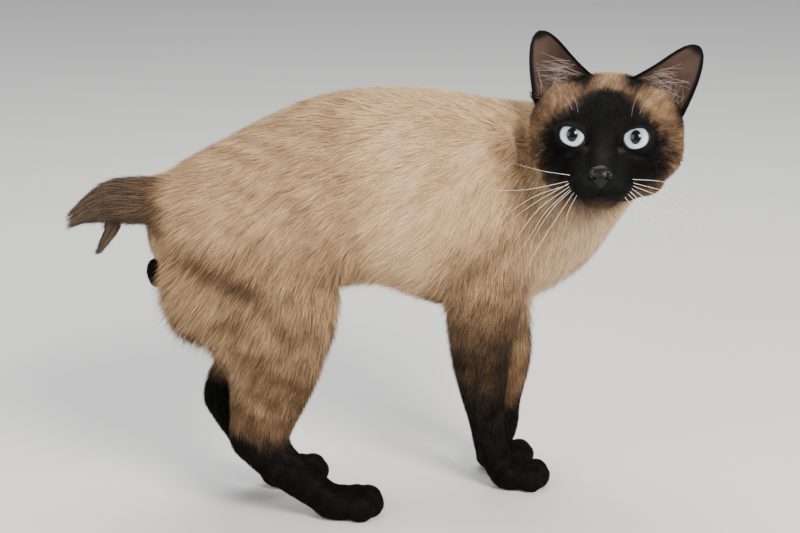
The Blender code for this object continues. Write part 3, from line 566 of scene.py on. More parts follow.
@dataclass(frozen=True)
class Body:
    """The cat's forms of flesh, out to the outside of the coat."""

    head: Head
    tail: Tail = Tail()
    trunk: tuple[Station, ...] = metres(
        (-92, -6, 196, 34, 36, 46),
        (-74, -2, 200, 43, 45, 50),
        (-35, 2, 205, 47, 58.5, 54),
        (5, 4, 210, 48, 69.5, 60),
        (45, 4, 212, 51, 72.5, 62),
        (80, 3, 206, 52, 74, 70),
        (112, 1, 200, 46, 72, 73),
        (138, -2, 198, 38, 62, 66),
    )
    neck: tuple[Station, ...] = metres(
        (108, 0, 208, 45, 65, 66),
        (139, -3, 212, 43, 64, 71),
        (160, -12, 221, 40, 55, 56.5),
        (172, -30, 232, 36, 44, 41),
        (173, -48, 242, 33, 37, 33),
    )
    legs: tuple[HindLeg | ForeLeg, ...] = (
        HindLeg(-1, -0.0265, (-0.0615, 0.06), 0.0, 0.014, radians(-4)),
        HindLeg(1, 0.034, (-0.071, 0.071), 0.014, -0.012, radians(4)),
        ForeLeg(-1, 0.1325, 0.000, 0.0, radians(-6)),
        ForeLeg(1, 0.132, 0.036, 0.028, radians(2)),
    )
    scrotum: Place = (-0.1065, 0.0, 0.1675)

    def add_head(self, clay: Clay) -> None:
        """Adds skull, cheeks, brows, bridge, whisker pads, lids and chin."""
        to_cat = self.head.matrix()
        clay.loft(metres(
            (-64, 0, 0, 29, 26, 30),
            (-52, 0, 0, 40, 38.5, 38),
            (-36, 0, 0, 48.5, 41.5, 43),
            (-21, 0, 0, 50.2, 37.5, 44),
            (-9, 0, -1, 44, 29, 42),
            (-1, 0, -3, 34.5, 20, 37),
            (3, 0, -5, 25, 13, 31),
        ), (0, 0, 1), to_cat=to_cat, keel=1.5, crest=2.4, cap=0.3)
        clay.loft(metres(
            (-12, 0, -18, 34, 18, 22),
            (2, 0, -20, 27.5, 15.5, 21),
            (12, 0, -23.5, 22, 14.5, 17.8),
            (21, 0, -26, 18, 10.8, 14.2),
            (28, 0, -27.5, 11.5, 6.5, 9.2),
        ), (0, 0, 1), to_cat=to_cat)
        clay.loft(metres(
            (-13, 0, 20, 15, 11, 12),
            (0, 0, 8.5, 11.5, 8.5, 12),
            (10, 0, -3, 9.2, 6.8, 12),
            (19, 0, -12, 8, 6, 10),
            (26.5, 0, -19, 7, 5.2, 8),
        ), (0, 0, 1), to_cat=to_cat)
        clay.ball((0.0175, 0, -0.0375), (0.0115, 0.0122, 0.007), to_cat)
        for side in (-1, 1):
            for (x, y, z), radii in (
                ((0.0208, 0.0088, -0.029), (0.0118, 0.0108, 0.0088)),
                ((0.001, 0.0135, -0.0275), (0.02, 0.014, 0.0125)),
                ((-0.008, 0.0245, -0.0255), (0.02, 0.015, 0.0115)),
                ((-0.022, 0.0285, -0.006), (0.024, 0.0222, 0.0225)),
                ((-0.003, 0.0185, 0.012), (0.0105, 0.0145, 0.008)),
                ((-0.0045, 0.021, -0.001), (0.012, 0.0165, 0.015)),
            ):
                clay.ball((x, side * y, z), radii, to_cat)
            clay.ball(self.head.eye(side), self.head.lid_reach(), to_cat)

    def forms(self) -> Object:
        """All the forms in one object, still crossing one another."""
        clay = Clay()
        clay.loft(self.trunk, (0, 0, 1))
        clay.loft(self.neck, (0, 0, 1))
        self.tail.add_to(clay)
        for leg in self.legs:
            leg.add_to(clay)
        self.add_head(clay)
        return clay.take("coat_skin")


@dataclass(frozen=True)
class CoatMark:
    """How the coat grows near one place, in millimetres: its lie, the length of a tuft, how deep the coat
    is, how wide a tuft is, tufts to a square millimetre, and how far the tips stand up in that depth."""

    place: Place
    lie: Place
    length: float
    depth: float
    width: float
    crowd: float
    stand: float = 1.0

    def sizes(self) -> tuple[float, ...]:
        """The five sizes, with lengths in metres."""
        return self.length / 1000, self.depth / 1000, self.width / 1000, self.crowd, self.stand


# Marks on the body. y is the distance outwards from the midline, and each mark stands on both sides.
BODY_MARKS = tuple(CoatMark(*row) for row in (
    ((150, 30, 268), (-1, 0.1, -0.25), 13.5, 4.2, 0.85, 0.55),
    ((172, 30, 266), (-0.95, 0.1, -0.3), 13, 4, 0.8, 0.6),
    ((128, 50, 250), (-0.8, 0, -0.6), 14, 4.2, 0.85, 0.55),
    ((132, 52, 225), (-0.6, 0, -0.8), 14.5, 4.5, 0.88, 0.55),
    ((150, 60, 215), (-0.45, 0, -0.9), 14.5, 4.5, 0.88, 0.55),
    ((120, 0, 275), (-1, 0, -0.05), 15, 4.5, 0.9, 0.5),
    ((30, 0, 285), (-1, 0, -0.02), 16, 4.5, 0.9, 0.5),
    ((-50, 0, 262), (-1, 0, -0.4), 16, 4.5, 0.9, 0.5),
    ((-90, 0, 238), (-1, 0, -0.25), 15, 4, 0.85, 0.6, 1.2),
    ((120, 42, 235), (-0.85, 0, -0.6), 15, 4.5, 0.9, 0.5),
    ((60, 50, 240), (-1, 0, -0.32), 16.5, 4.5, 0.9, 0.5),
    ((0, 48, 230), (-1, 0, -0.38), 16.5, 4.5, 0.9, 0.5),
    ((-60, 42, 225), (-0.85, 0, -0.55), 16, 4.5, 0.9, 0.5),
    ((50, 48, 185), (-0.95, 0, -0.5), 17.5, 5.5, 0.95, 0.5),
    ((0, 46, 180), (-0.85, 0, -0.6), 17.5, 5.5, 0.95, 0.5),
    ((30, 20, 150), (-0.9, 0.15, -0.55), 20, 7.5, 0.95, 0.5, 1.35),
    ((60, 25, 145), (-0.85, 0.15, -0.6), 20, 7.5, 0.95, 0.5, 1.3),
    ((100, 48, 200), (-0.45, 0, -0.9), 14.5, 4.2, 0.85, 0.55),
    ((105, 40, 165), (-0.2, 0, -1), 12, 3.4, 0.8, 0.65),
    ((106, 28, 125), (-0.12, 0, -1), 9.5, 2.6, 0.75, 0.8),
    ((110, 18, 85), (-0.05, 0, -1), 8, 2, 0.7, 0.95),
    ((115, 18, 50), (0, 0, -1), 6.5, 1.6, 0.65, 1.15),
    ((122, 18, 25), (0.65, 0, -0.7), 5, 1.2, 0.6, 1.4),
    ((150, 18, 12), (0.95, 0, -0.45), 3.8, 0.9, 0.55, 1.7),
    ((165, 10, 190), (-0.55, 0, -0.85), 17, 6, 0.9, 0.55, 1.1),
    ((150, 10, 145), (-0.65, 0, -0.75), 19, 7, 0.9, 0.55, 1.35),
    ((115, 0, 128), (-0.85, 0, -0.5), 19, 6.5, 0.9, 0.55, 1.2),
    ((-65, 50, 190), (-0.6, 0, -0.8), 16, 4.6, 0.9, 0.5),
    ((-45, 55, 160), (-0.5, 0, -0.85), 15.5, 4.6, 0.88, 0.55),
    ((-10, 48, 150), (-0.35, 0, -0.95), 15.5, 4.8, 0.88, 0.55, 1.15),
    ((-105, 35, 175), (-0.55, 0, -0.85), 19, 6.5, 0.85, 0.62, 1.6),
    ((-90, 35, 140), (-0.55, 0, -0.85), 19, 6.5, 0.85, 0.66, 1.75),
    ((-40, 45, 125), (-0.4, 0, -0.9), 14, 4, 0.85, 0.65),
    ((-10, 38, 120), (-0.4, 0, -0.95), 14, 4.2, 0.85, 0.65, 1.15),
    ((-35, 34, 95), (-0.5, 0, -0.9), 11, 3.2, 0.78, 0.8),
    ((-45, 32, 70), (-0.25, 0, -1), 8.5, 2.4, 0.72, 0.95),
    ((-62, 30, 60), (0.2, 0, -1), 8, 2.2, 0.72, 1),
    ((-35, 30, 35), (0.8, 0, -0.55), 6, 1.5, 0.65, 1.2),
    ((-15, 30, 18), (0.95, 0, -0.35), 4.8, 1.1, 0.6, 1.4),
    ((20, 30, 10), (0.98, 0, -0.3), 3.8, 0.9, 0.55, 1.7),
    ((-105, 0, 225), (-1, 0, -0.1), 16, 3.4, 0.85, 0.8),
    ((-104, 12, 205), (-0.9, 0.2, -0.45), 15, 3.4, 0.85, 0.8, 1.2),
    ((-125, 0, 220), (-1, 0, -0.15), 20, 1, 0.8, 0.8, 2.5),
    ((-142, 0, 208), (-1, 0, -0.4), 20, 0.8, 0.8, 0.8, 2.5),
    ((-140, 0, 196), (-0.5, 0, -0.85), 15, 0.6, 0.75, 0.8, 2.5),
    ((-106.5, 5, 167.5), (-0.5, 0, -0.85), 6, 1.2, 0.6, 1.2),
))

# Marks on the head, in the head's axes, each on both sides.
HEAD_MARKS = tuple(CoatMark(*row) for row in (
    ((27, 0, -15), (-0.7, 0, 0.7), 2.4, 0.4, 0.42, 2.6),
    ((12, 4, -2), (-0.6, 0.1, 0.8), 3.2, 0.6, 0.45, 2.4),
    ((2, 6, 12), (-0.45, 0.1, 0.9), 4.2, 0.9, 0.48, 2),
    ((-12, 8, 28), (-0.75, 0.1, 0.65), 5.6, 1.3, 0.55, 1.6),
    ((-30, 8, 40), (-1, 0, 0.1), 8, 2, 0.65, 1.2, 1.1),
    ((-56, 10, 30), (-1, 0, -0.4), 11.5, 3.4, 0.8, 0.8),
    ((1, 22, 16), (-0.35, 0.45, 0.85), 5, 1, 0.48, 2),
    ((-14, 34, 18), (-0.6, 0.55, 0.65), 6.2, 1.5, 0.55, 1.5),
    ((9, 9, -8), (-0.75, 0.5, 0.35), 2.8, 0.4, 0.42, 2.6),
    ((8, 20, -13), (-0.55, 0.85, -0.2), 3.6, 0.6, 0.45, 2.4),
    ((0, 33, -6), (-0.7, 0.75, -0.1), 4.8, 1.1, 0.5, 1.9),
    ((-14, 44, 4), (-0.9, 0.45, 0.05), 7, 1.8, 0.6, 1.3),
    ((20, 15, -22), (-0.7, 0.7, -0.1), 3.2, 0.5, 0.42, 2.4),
    ((28, 9, -29), (-0.55, 0.8, -0.35), 3.2, 0.5, 0.42, 2.4),
    ((22, 0, -42), (-0.75, 0, -0.65), 4.8, 0.9, 0.48, 2),
    ((5, 24, -30), (-0.85, 0.45, -0.4), 6.2, 1.3, 0.52, 1.6),
    ((-10, 40, -16), (-0.9, 0.4, -0.35), 9, 2.2, 0.62, 1.2, 1.3),
    ((-12, 26, -36), (-0.95, 0.15, -0.4), 10, 2.6, 0.65, 1.1, 1.2),
    ((-36, 46, -6), (-1, 0.1, -0.25), 11, 3.2, 0.72, 0.9, 1.1),
    ((-30, 0, -46), (-0.95, 0, -0.45), 13, 4.2, 0.8, 0.8, 1.1),
))

# Length, depth and width of a tuft on the ears.
EAR_TUFT = (0.0013, 0.00018, 0.00042)


class Growth:
    """How the coat grows at any place, from the marks nearest to it."""

    # How far a mark reaches at full strength, and how many places are worked out at once.
    NEAR = 0.006
    BATCH = 40000

    def __init__(self, head: Head) -> None:
        """Sets every mark on both sides, in the cat's axes."""
        places, lies, sizes = [], [], []
        for side in (-1, 1):
            flip = np.array((1.0, side, 1.0))
            for mark in BODY_MARKS + HEAD_MARKS:
                place, lie = np.array(mark.place) / 1000 * flip, np.array(mark.lie) * flip
                if mark in HEAD_MARKS:
                    place, lie = np.array(head.matrix() @ Vector(place)), head.turned(lie[None])[0]
                places.append(place)
                lies.append(lie)
                sizes.append(mark.sizes())
        self.places, self.lies, self.sizes = np.array(places), unit(np.array(lies)), np.array(sizes)

    def at(self, points: Array) -> tuple[Array, Array]:
        """The lie, and the five sizes of a mark, at each place.

        Args:
            points: Places, one a row.

        Returns:
            A direction for each place, and a row of sizes for each.
        """
        lies, sizes = np.empty((len(points), 3)), np.empty((len(points), 5))
        for start in range(0, len(points), self.BATCH):
            rows = slice(start, start + self.BATCH)
            far = ((points[rows, None, :] - self.places[None]) ** 2).sum(axis=2)
            weights = 1.0 / (far + self.NEAR**2) ** 2
            weights /= weights.sum(axis=1)[:, None]
            lies[rows], sizes[rows] = weights @ self.lies, weights @ self.sizes
        return unit(lies), sizes


class Markings:
    """The coat's pattern: how dark each place is, and how pale its underside."""

    FORE_HEIGHTS = (0.0, 0.043, 0.07, 0.093, 0.113, 0.133, 0.15, 0.17, 0.19, 0.215)
    FORE_SHADES = (1.0, 0.95, 0.89, 0.79, 0.74, 0.62, 0.48, 0.37, 0.28, 0.15)
    HIND_HEIGHTS = (0.0, 0.03, 0.045, 0.056, 0.066, 0.085, 0.105, 0.125, 0.15, 0.175, 0.205)
    HIND_SHADES = (1.0, 0.99, 0.97, 0.9, 0.65, 0.59, 0.52, 0.43, 0.4, 0.37, 0.28)
    THIGH_SMUDGES = (
        ((-0.078, 0.187), 0.58, 0.024, 0.0075, 0.27),
        ((-0.058, 0.172), 0.55, 0.013, 0.0055, 0.3),
        ((-0.051, 0.188), 0.35, 0.026, 0.008, 0.09),
        ((-0.06, 0.152), -0.35, 0.018, 0.005, 0.15),
        ((-0.027, 0.142), 0.35, 0.016, 0.005, 0.14),
        ((-0.052, 0.125), 0.1, 0.014, 0.005, 0.12),
        ((-0.03, 0.106), 0.55, 0.018, 0.004, 0.14),
        ((-0.04, 0.083), 0.35, 0.016, 0.004, -0.14),
    )
    MASK_HEIGHTS = (-0.045, -0.03, -0.02, -0.01, 0.000, 0.005, 0.011, 0.0175, 0.0225, 0.0265, 0.03)
    MASK_WIDTHS = (0.026, 0.032, 0.0365, 0.0385, 0.0375, 0.034, 0.0285, 0.0205, 0.0155, 0.01, -0.01)
    # On each side of the face: centre, radii and how much darker or paler.
    FACE_SPOTS = (
        ((-0.006, 0.0295, 0.0225), (0.02, 0.011, 0.0075), -0.1),
        ((-0.022, 0.019, 0.037), (0.012, 0.0085, 0.006), 0.8),
        ((-0.013, 0.015, 0.0325), (0.014, 0.005, 0.0065), 0.3),
        ((-0.028, 0.044, 0.0175), (0.012, 0.0055, 0.008), 0.8),
        ((0.004, 0.017, -0.0118), (0.01, 0.007, 0.0022), -0.1),
        ((0.008, 0.0098, -0.008), (0.006, 0.0026, 0.0026), -0.3),
        ((0.022, 0.0000, -0.043), (0.012, 0.013, 0.006), -0.36),
        ((0.01, 0.0245, -0.033), (0.012, 0.0085, 0.0055), -0.36),
        # A paler nose bridge: a painted sheen on the black mask.
        ((0.026, 0.0000, -0.01), (0.012, 0.008, 0.009), -0.08),
    )

    def __init__(self, head: Head) -> None:
        """Keeps the head, whose axes the mask is drawn in."""
        self.head = head

    def face(self, local: Array) -> Array:
        """How dark the head is, from 0, beige, to 1, nearly black, at places in the head's axes."""
        x, y, z = local[:, 0], np.abs(local[:, 1]), local[:, 2]
        streaks = 0.7 * smooth_noise(local, 0.005, 5, 7) + 0.5 * smooth_noise(local, 0.0024, 6, 7)
        width = np.interp(z, self.MASK_HEIGHTS, self.MASK_WIDTHS) * (1 + 0.07 * streaks)
        mask = 1 - ease(y - width, -0.008, 0.0075)
        back = ease(x, -0.048, -0.02)
        around = 0.57 - 0.29 * (1 - back)
        crown = ease(z, 0.024, 0.036)
        around = around - 0.14 * crown
        value = around + (1.0 - around) * mask * back
        mirrored = np.column_stack([x, y, z])
        for centre, radii, strength in self.FACE_SPOTS:
            value = value + strength * hump(mirrored, centre, radii)
        return np.clip(value + 0.07 * streaks * (1 - mask), 0.0, 1.0)

    def dark(self, points: Array) -> Array:
        """How dark the coat is, from 0, cream, to 1, nearly black, with painted shade on the belly and below
        the head, and a painted sheen on the nose bridge.
        """
        x, y, z = points.T
        value = 0.11 + 0.15 * ease(-x, 0.01, 0.08)
        value += 0.17 * hump(points, (0.155, -0.03, 0.245), (0.034, 0.04, 0.045))
        # A darker patch on the neck's side below the head: painted shade cast by the head.
        value += 0.12 * hump(points, (0.14, -0.04, 0.195), (0.018, 0.03, 0.03))
        # Painted shade on the underside of the belly: a darker band along it.
        value += 0.1 * hump(points, (0.03, 0.000, 0.135), (0.045, 0.05, 0.014))
        value += 0.03 * smooth_noise(points, 0.06, 3) + 0.02 * smooth_noise(points, 0.022, 4)
        fore = ease(x, 0.062, 0.084) * (1 - ease(x - 0.1 * (0.15 - z), 0.128, 0.15)
                                               * ease(z, 0.112, 0.13))
        shade = np.interp(z, self.FORE_HEIGHTS, self.FORE_SHADES)
        shade -= 0.3 * ease(y, 0.016, 0.022) * (1 - ease(y, 0.024, 0.032)) * ease(
            z, 0.04, 0.07) * (1 - ease(z, 0.105, 0.135))
        shade += 0.06 * smooth_noise(points, 0.03, 9) * (1 - slope(shade, 0.7, 1.0))
        value = value * (1 - fore) + np.maximum(shade, value) * fore
        hind = 1 - np.where(z < 0.1, ease(x, 0.048, 0.058), ease(x, 0.01, 0.05))
        shade = np.interp(z, self.HIND_HEIGHTS, self.HIND_SHADES)
        shade += 0.45 * ease(-x, 0.046, 0.062) * ease(-z - 0.022 * (y < 0.01), -0.096, -0.08)
        for (mid_x, mid_z), tilt, long, wide, strength in self.THIGH_SMUDGES:
            along = (x - mid_x) * cos(tilt) - (z - mid_z) * sin(tilt)
            across = (x - mid_x) * sin(tilt) + (z - mid_z) * cos(tilt)
            shade += strength * np.exp(-((along / long) ** 2) - (across / wide) ** 2)
        shade += 0.05 * smooth_noise(points, 0.02, 10) * (1 - slope(shade, 0.8, 1.0))
        value = value * (1 - hind) + np.maximum(shade, value) * hind
        tail = ease(-x, 0.092, 0.114) * np.maximum(
            ease(z, 0.196, 0.204), ease(-x, 0.116, 0.122))
        value = value * (1 - tail) + 0.81 * tail
        below = hump(points, (-0.1085, 0.0, 0.166), (0.011, 0.014, 0.013))
        value = value + (1.0 - value) * ease(below, 0.25, 0.45)
        local = self.head.local(points)
        near = ease(local[:, 0], -0.058, -0.03) * (1 - ease(
            np.linalg.norm(local - np.array((-0.015, 0.0, 0.005)), axis=1), 0.066, 0.078))
        value = value * (1 - near) + self.face(local) * near
        return np.clip(value, 0.0, 1.0)

    def pale(self, points: Array) -> Array:
        """How much the coat turns to cream, on the belly, the chest and the throat."""
        x, y, z = points.T
        chest = hump(points, (0.165, 0.000, 0.16), (0.03, 0.045, 0.045))
        belly = hump(points, (0.035, 0.004, 0.14), (0.045, 0.04, 0.024))
        throat = hump(points, (0.175, -0.035, 0.2), (0.028, 0.03, 0.024))
        tail = 0.07 * ease(-x, 0.096, 0.116) * ease(z, 0.18, 0.19)
        # The belly gets only a little cream, which leaves the painted shade on the underside.
        cream = np.clip(0.8 * chest + 0.3 * belly + 0.5 * throat + tail, 0.0, 1.0)
        return cream * (1 - ease(-z, -0.12, -0.1))


class Skin:
    """The one skin under the whole coat, with the lids, mouth and ears formed in it."""

    VOXEL = 0.0012
    FINE_VOXEL = 0.00035
    SMOOTHING = 266
    TRIANGLES = 170000

    def __init__(self, body: Body, growth: Growth, markings: Markings) -> None:
        """Keeps what the skin is made from."""
        self.body, self.growth, self.markings = body, growth, markings
        self.head = body.head

    def softness(self, points: Array) -> Array:
        """How far the skin is smoothed at each place: most on the trunk, least on the face and toes."""
        local = self.head.local(points)
        x, z = points[:, 0], points[:, 2]
        soft = np.minimum(1.0, 0.3 + 0.7 * slope(z, 0.135, 0.165))
        low = 0.06 + 0.24 * slope(z, 0.028, 0.045) + 0.7 * slope(z, 0.14, 0.165)
        soft = np.minimum(soft, low)
        soft = np.minimum(soft, 0.15 + 0.85 * slope(x, -0.118, -0.1))
        far = np.linalg.norm(local - np.array((-0.015, 0, -0.004)), axis=1)
        near = np.clip((0.072 - far) / 0.018, 0, 1)
        soft = np.minimum(soft, 1 - 0.82 * near)
        face = np.minimum(slope(local[:, 0], -0.008, 0.006), near)
        return np.minimum(soft, 1 - 0.91 * face)

    def merge(self, thing: Object, iterations: int, weights: bool) -> None:
        """Merges crossing forms into one surface and smooths it.

        Args:
            thing: The object with the forms.
            iterations: How many rounds of smoothing it gets.
            weights: Whether the smoothing follows `softness`.
        """
        merge_forms(thing, self.VOXEL)
        apply_modifiers(thing)
        smooth = thing.modifiers.new("soften", "SMOOTH")
        smooth.factor = 0.5
        smooth.iterations = iterations
        if weights:
            smooth.vertex_group = weigh(thing, "soft", self.softness(corners_of(thing.data)))
        apply_modifiers(thing)
        thing.vertex_groups.clear()

    def sink(self, thing: Object) -> None:
        """Draws the surface in by the depth of the coat."""
        points = corners_of(thing.data)
        points -= normals_of(thing.data) * self.growth.at(points)[1][:, 1:2]
        points[:, 2] = np.maximum(points[:, 2], 0.0008)
        thing.data.vertices.foreach_set("co", points.ravel())
        thing.data.update()

    def openings(self) -> Object:
        """What is cut from the head: eye sockets, lid openings and a slanting notch at each eye's inner
        corner.
        """
        head, to_cat = self.head, self.head.matrix()
        clay = Clay()
        for side in (-1, 1):
            clay.ball(head.eye(side), (head.eye_radius + 0.0002,) * 3, to_cat, detail=48)
            turn = (Matrix.Rotation(side * head.eye_divergence, 4, "Z")
                    @ Matrix.Rotation(side * head.lid_slant, 4, "X"))
            width, height = head.lid_opening
            height *= head.right_lids if side < 0 else 1.0
            clay.ball((0.012, side * (head.eye_spread + 0.0003), side * 0.0005),
                      (0.014, width / 2, height / 2), to_cat, turn, detail=48)
            clay.ball((0.011, side * (head.eye_spread - 0.0078), -0.0044), (0.006, 0.0034, 0.002),
                      to_cat, Matrix.Rotation(side * radians(38), 4, "X"), detail=24)
        return clay.take("openings")

    def mouth(self, thing: Object) -> Object:
        """The cleft under the nose and the lips' lines, laid on the head's surface."""
        to_cat = self.head.matrix()
        tree = BVHTree.FromObject(thing, bpy.context.evaluated_depsgraph_get())
        clay = Clay()
        lines = [((0.032, 0, -0.029), (0.033, 0, -0.032), (0.031, 0, -0.0352))]
        for side in (-1, 1):
            lines.append(((0.031, 0, -0.035), (0.03, side * 0.0045, -0.0368),
                          (0.026, side * 0.0095, -0.0378), (0.02, side * 0.0135, -0.0378),
                          (0.012, side * 0.016, -0.0362)))
        for line in lines:
            places = [tree.find_nearest(to_cat @ Vector(point))[0] for point in line]
            clay.loft([(*point, 0.00055, 0.00075, 0.00075) for point in places], (0.13, 0.05, 1),
                      steps=4, sides=10)
        return clay.take("mouth")

    def join(self, thing: Object, ear: Object) -> None:
        """Joins an ear to the head, with its edge rounded."""
        rounded = ear.modifiers.new("rounded", "SUBSURF")
        rounded.levels = rounded.render_levels = 1
        apply_modifiers(ear)
        combine(thing, ear, "UNION")

    def carve(self, thing: Object, cutter: Object) -> None:
        """Cuts one object out of another and removes it."""
        merge_forms(cutter, self.FINE_VOXEL)
        apply_modifiers(cutter)
        combine(thing, cutter, "DIFFERENCE")

    def thin_out(self, thing: Object) -> None:
        """Leaves fewer triangles where the coat hides the skin, and keeps the face fine."""
        points = corners_of(thing.data)
        local = self.head.local(points)
        fine = np.clip((0.085 - np.linalg.norm(local - np.array((-0.01, 0, 0.01)), axis=1)) / 0.02, 0, 1)
        thing.data.calc_loop_triangles()
        count = len(thing.data.loop_triangles)
        if count <= self.TRIANGLES:
            return
        decimate = thing.modifiers.new("thin_out", "DECIMATE")
        decimate.ratio = self.TRIANGLES / count
        decimate.use_collapse_triangulate = True
        decimate.vertex_group = weigh(thing, "fine", 1 - 0.9 * fine)
        decimate.vertex_group_factor = 1e-5
        apply_modifiers(thing)
        thing.vertex_groups.clear()

    def make(self) -> Object:
        """Builds the skin and stores what its finish reads.

        Returns:
            The skin, still in the cat's own axes.
        """
        thing = self.body.forms()
        self.merge(thing, self.SMOOTHING, True)
        self.sink(thing)
        clay = Clay()
        clay.add(thing)
        for side in (-1, 1):
            clay.ball(self.head.eye(side), self.head.lid_reach(), self.head.matrix(), detail=40)
            clay.ball(Vector(self.body.scrotum) + Vector((0, side * 0.005, 0)), (0.007, 0.0059, 0.0085))
        thing = clay.take("coat_skin")
        self.merge(thing, 4, False)
        for ear in self.head.ears():
            self.join(thing, ear.form(self.head.matrix()))
        mouth = self.mouth(thing)
        self.carve(thing, self.openings())
        self.carve(thing, mouth)
        self.thin_out(thing)
        thing.data.materials.clear()
        self.describe(thing)
        return thing

    def describe(self, thing: Object) -> None:
        """Stores the markings and the bare places at each vertex."""
        points, normals = corners_of(thing.data), normals_of(thing.data)
        local = self.head.local(points)
        turned = self.head.local_ways(normals)
        dark, inner = self.markings.dark(points), np.zeros(len(points))
        for ear in self.head.ears():
            v, _, on_ear, inside = ear.measure(local, turned)
            dark = dark * (1 - on_ear) + on_ear
            inner = np.maximum(inner, inside * (1 - ease(v, 0.84, 0.94)) * ease(v, -0.02, 0.1))
        rim = np.zeros(len(points))
        for side in (-1, 1):
            far = np.linalg.norm(local - np.array(self.head.eye(side)), axis=1)
            edge = self.head.eye_radius + 0.0003
            rim = np.maximum(rim, 1 - ease(far, edge, edge + 0.0008))
        add_number(thing.data, "dark", np.maximum(dark, rim))
        add_number(thing.data, "pale", self.markings.pale(points))
        add_number(thing.data, "inner_ear", inner)
        add_number(thing.data, "rim", rim)


class Signal:
    """A socket's value in a material, which arithmetic turns into Math nodes."""

    def __init__(self, dressing: "Dressing", socket: NodeSocket) -> None:
        """Keeps the socket and the material it is in."""
        self.dressing, self.socket = dressing, socket

    def math(self, operation: str, *values: "Signal | float", clamp: bool = False) -> "Signal":
        """A Math node on this value and others."""
        node = self.dressing.node("ShaderNodeMath", {"operation": operation, "use_clamp": clamp},
                                  {index: value for index, value in enumerate(values)})
        return Signal(self.dressing, node.outputs[0])

    def __add__(self, other: "Signal | float") -> "Signal":
        """The sum."""
        return self.math("ADD", self, other)

    __radd__ = __add__

    def __sub__(self, other: "Signal | float") -> "Signal":
        """The difference."""
        return self.math("SUBTRACT", self, other)

    def __rsub__(self, other: "Signal | float") -> "Signal":
        """The difference the other way round."""
        return self.math("SUBTRACT", other, self)

    def __mul__(self, other: "Signal | float") -> "Signal":
        """The product."""
        return self.math("MULTIPLY", self, other)

    __rmul__ = __mul__

    def __truediv__(self, other: "Signal | float") -> "Signal":
        """The quotient."""
        return self.math("DIVIDE", self, other)

    def __pow__(self, other: "Signal | float") -> "Signal":
        """The power."""
        return self.math("POWER", self, other)

    def clamped(self) -> "Signal":
        """The value held between 0 and 1."""
        return self.math("ADD", self, 0.0, clamp=True)

    def between(self, low: float, high: float) -> "Signal":
        """0 at `low`, rising smoothly to 1 at `high`."""
        node = self.dressing.node("ShaderNodeMapRange", {"interpolation_type": "SMOOTHSTEP"},
                                  {"Value": self, "From Min": low, "From Max": high})
        return Signal(self.dressing, node.outputs[0])


class Dressing:
    """One material under construction."""

    def __init__(self, name: str) -> None:
        """Starts a material with its Principled shader."""
        self.material = bpy.data.materials.new(name)
        self.material.use_nodes = True
        self.tree = self.material.node_tree
        self.shader = self.tree.nodes["Principled BSDF"]

    def node(self, kind: str, settings: dict, inputs: dict) -> bpy.types.Node:
        """Adds any node.

        Args:
            kind: The node's type.
            settings: Its properties, and `stops` for a ramp, which are set first.
            inputs: Values or links for its sockets, by name or number.

        Returns:
            The node.
        """
        node = self.tree.nodes.new(kind)
        for name, value in settings.items():
            if name == "stops":
                ramp = node.color_ramp
                for index, (place, colour) in enumerate(value):
                    stop = ramp.elements[index] if index < 2 else ramp.elements.new(place)
                    stop.position = place
                    stop.color = (*colour, 1.0)
            else:
                setattr(node, name, value)
        for name, value in inputs.items():
            self.feed(node.inputs[name], value)
        return node

    def feed(self, socket: NodeSocket, value: object) -> None:
        """Links a socket, or sets its value."""
        if isinstance(value, Signal):
            self.tree.links.new(value.socket, socket)
        elif isinstance(value, NodeSocket):
            self.tree.links.new(value, socket)
        elif isinstance(value, tuple) and len(value) == 3 and socket.type == "RGBA":
            socket.default_value = (*value, 1.0)
        else:
            socket.default_value = value

    def number(self, name: str) -> Signal:
        """A number that the mesh stores under this name."""
        return Signal(self, self.node("ShaderNodeAttribute", {"attribute_name": name}, {}).outputs["Fac"])

    def vector(self, name: str) -> NodeSocket:
        """A vector that the mesh stores under this name."""
        return self.node("ShaderNodeAttribute", {"attribute_name": name}, {}).outputs["Vector"]

    def noise(self, scale: float, detail: float = 2.0, stretch: Place = (1, 1, 1),
              coordinates: NodeSocket | None = None) -> Signal:
        """Noise on the object's own coordinates, or on others."""
        if coordinates is None:
            coordinates = self.node("ShaderNodeTexCoord", {}, {}).outputs["Object"]
        mapping = self.node("ShaderNodeMapping", {}, {"Vector": coordinates, "Scale": Vector(stretch)})
        texture = self.node("ShaderNodeTexNoise", {}, {"Vector": mapping.outputs[0], "Scale": scale,
                                                       "Detail": detail})
        return Signal(self, texture.outputs["Fac"])

    def ramp(self, value: Signal, stops: Sequence[tuple[float, Place]]) -> NodeSocket:
        """A colour for each value."""
        return self.node("ShaderNodeValToRGB", {"stops": stops}, {"Fac": value}).outputs["Color"]

    def mix(self, share: Signal | float, first: object, second: object,
            blend: str = "MIX") -> NodeSocket:
        """Two colours mixed."""
        node = self.node("ShaderNodeMix", {"data_type": "RGBA", "blend_type": blend}, {0: share})
        first_colour, second_colour, mixed = node.inputs[6], node.inputs[7], node.outputs[2]
        self.feed(first_colour, first)
        self.feed(second_colour, second)
        return mixed

    def scaled(self, colour: object, brightness: Signal) -> NodeSocket:
        """A colour made brighter or darker."""
        node = self.node("ShaderNodeVectorMath", {"operation": "SCALE"}, {0: colour, "Scale": brightness})
        return node.outputs[0]

    def bump(self, height: Signal, strength: float, distance: float) -> None:
        """Raises the surface's shading by this height."""
        node = self.node("ShaderNodeBump", {}, {"Strength": strength, "Distance": distance, "Height": height})
        self.feed(self.shader.inputs["Normal"], node.outputs[0])

    def settle(self, **values: object) -> Material:
        """Sets or links the shader's sockets, given by name with _ for a space."""
        for name, value in values.items():
            self.feed(self.shader.inputs[name.replace("_", " ")], value)
        return self.material


